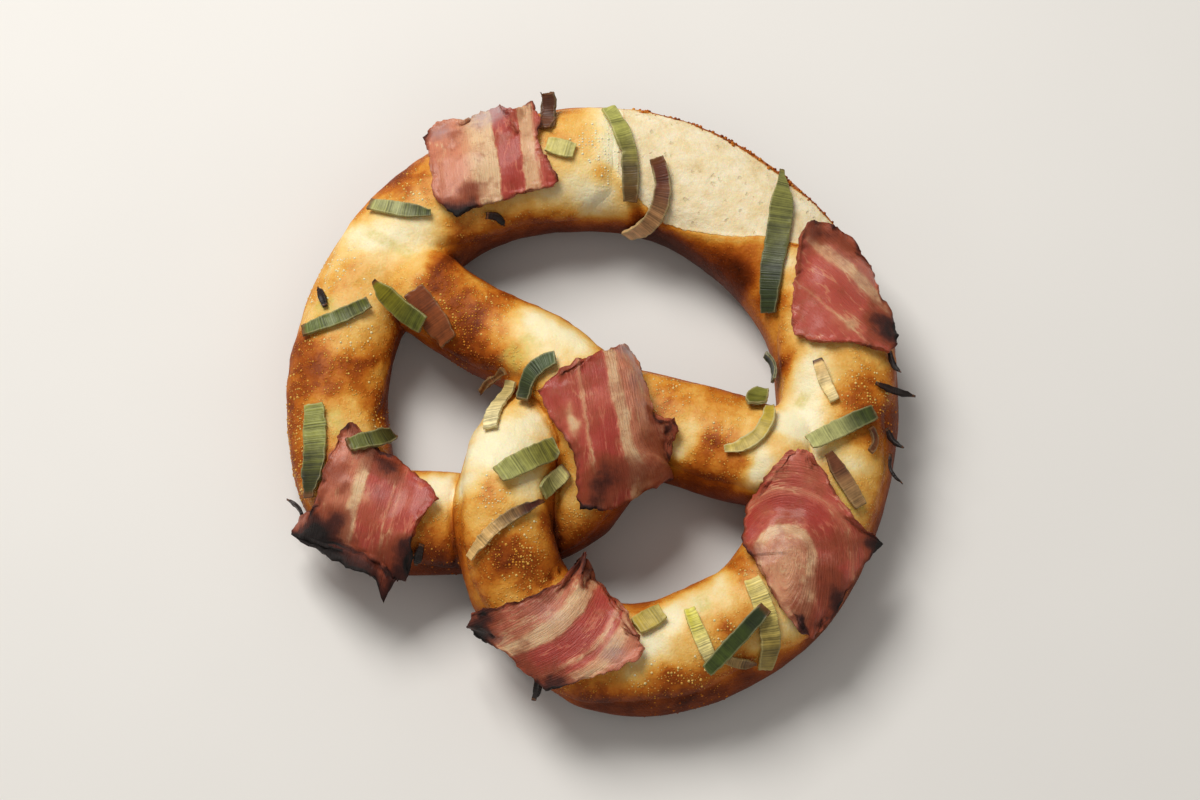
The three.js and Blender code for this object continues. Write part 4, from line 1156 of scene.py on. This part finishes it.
ribLook = {
    "warp": 0.4,  # mm
    "fine": ((2.3, 0.75), (0.8, 0.5)), "broad": (0.16, 0.5),  # ribs for a mm, strength
    "mottle": 0.55,
    "shades": (0.46, 1.5),  # of the strip's own colour, between the ribs and on them
    "cutEdge": (206, 194, 138),
    "fried": [((0.2, 0.55, 0.0, 0.85), (112, 66, 30)), ((0.55, 0.9), (38, 22, 16))],
    "fryCloud": (520, 4.0), "fryReach": 0.5,
}


def makeLeekRib(look):
    takes = {"Tint": (0.2, 0.25, 0.08, 1), "Along": 0.0, "Ribs": 1.0, "Edge": 0.0, "Fry": 0.0}
    tree, given, out = newGroup("leekRib", takes)
    place = where()
    along = plus(given["Along"], times(cloud(place, 160, 2.0), look["warp"]))

    def lines(often, strength):
        spread = put("TexNoise", noise_dimensions="1D", W=times(along, often), Scale=1.0, Detail=1.0)
        return times(minus(spread.outputs["Fac"], 0.5), strength)

    mottle = times(swing(place, 380, 4.0, 0.6), look["mottle"])
    fine = times(plus(*[lines(*line) for line in look["fine"]]), given["Ribs"])
    rib = plus(fine, plus(lines(*look["broad"]), mottle))
    dark, light = [put("VectorMath", operation="SCALE", Vector=given["Tint"], Scale=shade).outputs[0]
                   for shade in look["shades"]]
    colour = blendColour(span(rib, -0.32, 0.32), dark, light)
    colour = stain(times(given["Edge"], 0.4), colour, look["cutEdge"])
    colour = frying(colour, place, look, given["Fry"])[0]
    wire(out, {"Color": colour, "Roughness": span(rib, -0.3, 0.3, 0.52, 0.36), "Height": rib})
    return tree


leekRib = makeLeekRib(ribLook)


def makeLeekMaterial(name):
    material, shader = newMaterial(name)
    rib = useGroup(leekRib, "along", "ribs", "edge", "fry", Tint=painted("tint", "Color"))
    wire(shader.inputs, {
        "Base Color": rib["Color"],
        "Roughness": rib["Roughness"],
        "Specular IOR Level": 0.35,
    })
    bump(shader, rib["Height"], 0.2 * mm)
    return material


ribbedLeek = makeLeekMaterial("ribbedLeek")
brownedLeek = makeLeekMaterial("brownedLeek")
makeStrips("greenLeek", "leek", leekForm, greenStrips, ribbedLeek, "leek_green", 100, 1.0)
makeStrips("brownLeek", "leek", leekForm, brownStrips, brownedLeek, "leek_brown", 300, 0.4)
print("leek scattered")


# burnt scraps at the edges, made like the leek

charForm = {
    "levels": 2,
    "ends": {1: (0.9, 0.2), 2: (0.6, 0.3), 3: (0.8, 0.3), 4: (0.9, 0.2), 5: (0.3, 0.9), 6: (0.9, 0.3),
             7: (0.8, 0.4), 8: (0.2, 0.9), 9: (0.9, 0.2)},
    "cutEdges": {}, "ragged": {}, "ribs": {},
}
charLooks = dict.fromkeys(charForm["ends"], ((38, 20, 15), (22, 14, 11), 0.7, 0.8))
makeStrips("burntScraps", "char", charForm, charLooks, brownedLeek, "burnt", 400, 0)
print("burnt scraps set")


# pale floor and soft light from the back left

studio = {
    "floor": (238, 236, 232),
    "floorSize": 1.6, "floorDrop": 0.05 * mm, "floorRough": 0.8,
    "floorShade": 0.985,  # of the darker clouds in it
    "world": (1.0, 0.97, 0.925, 1.0), "worldStrength": 0.26,
    "lights": [
        {"name": "key", "at": (-0.42, 0.60, 0.98), "size": 0.6, "power": 13.0, "colour": (1.0, 0.975, 0.94)},
        {"name": "fill", "at": (0.3, -0.9, 0.9), "size": 0.8, "power": 1.0, "colour": (1.0, 0.99, 0.97)},
    ],
}


def makeStudio(setup):
    bm = bmesh.new()
    bmesh.ops.create_grid(bm, x_segments=1, y_segments=1, size=setup["floorSize"],
                          matrix=Matrix.Translation((0, 0, -setup["floorDrop"])))
    floor = newObject("floor", bm)
    material, shader = newMaterial("paleFloor")
    tone = linear(*setup["floor"])
    darker = tuple(v * setup["floorShade"] for v in tone[:3]) + (1,)
    shade = span(cloud(where(), 12, 2.0), 0.3, 0.7)
    wire(shader.inputs, {"Base Color": blendColour(shade, tone, darker), "Roughness": setup["floorRough"]})
    floor.data.materials.append(material)
    for spec in setup["lights"]:
        data = bpy.data.lights.new(spec["name"], "AREA")
        data.size, data.energy, data.color = spec["size"], spec["power"], spec["colour"]
        lamp = bpy.data.objects.new(spec["name"], data)
        lamp.location = spec["at"]
        lamp.rotation_euler = Vector(spec["at"]).to_track_quat("Z", "Y").to_euler()
        scene.collection.objects.link(lamp)
    world = bpy.data.worlds.new("studio")
    world.use_nodes = True
    background = world.node_tree.nodes["Background"].inputs
    wire(background, {"Color": setup["world"], "Strength": setup["worldStrength"]})
    scene.world = world
    scene.view_settings.view_transform = "Standard"


makeStudio(studio)
print("studio lit")
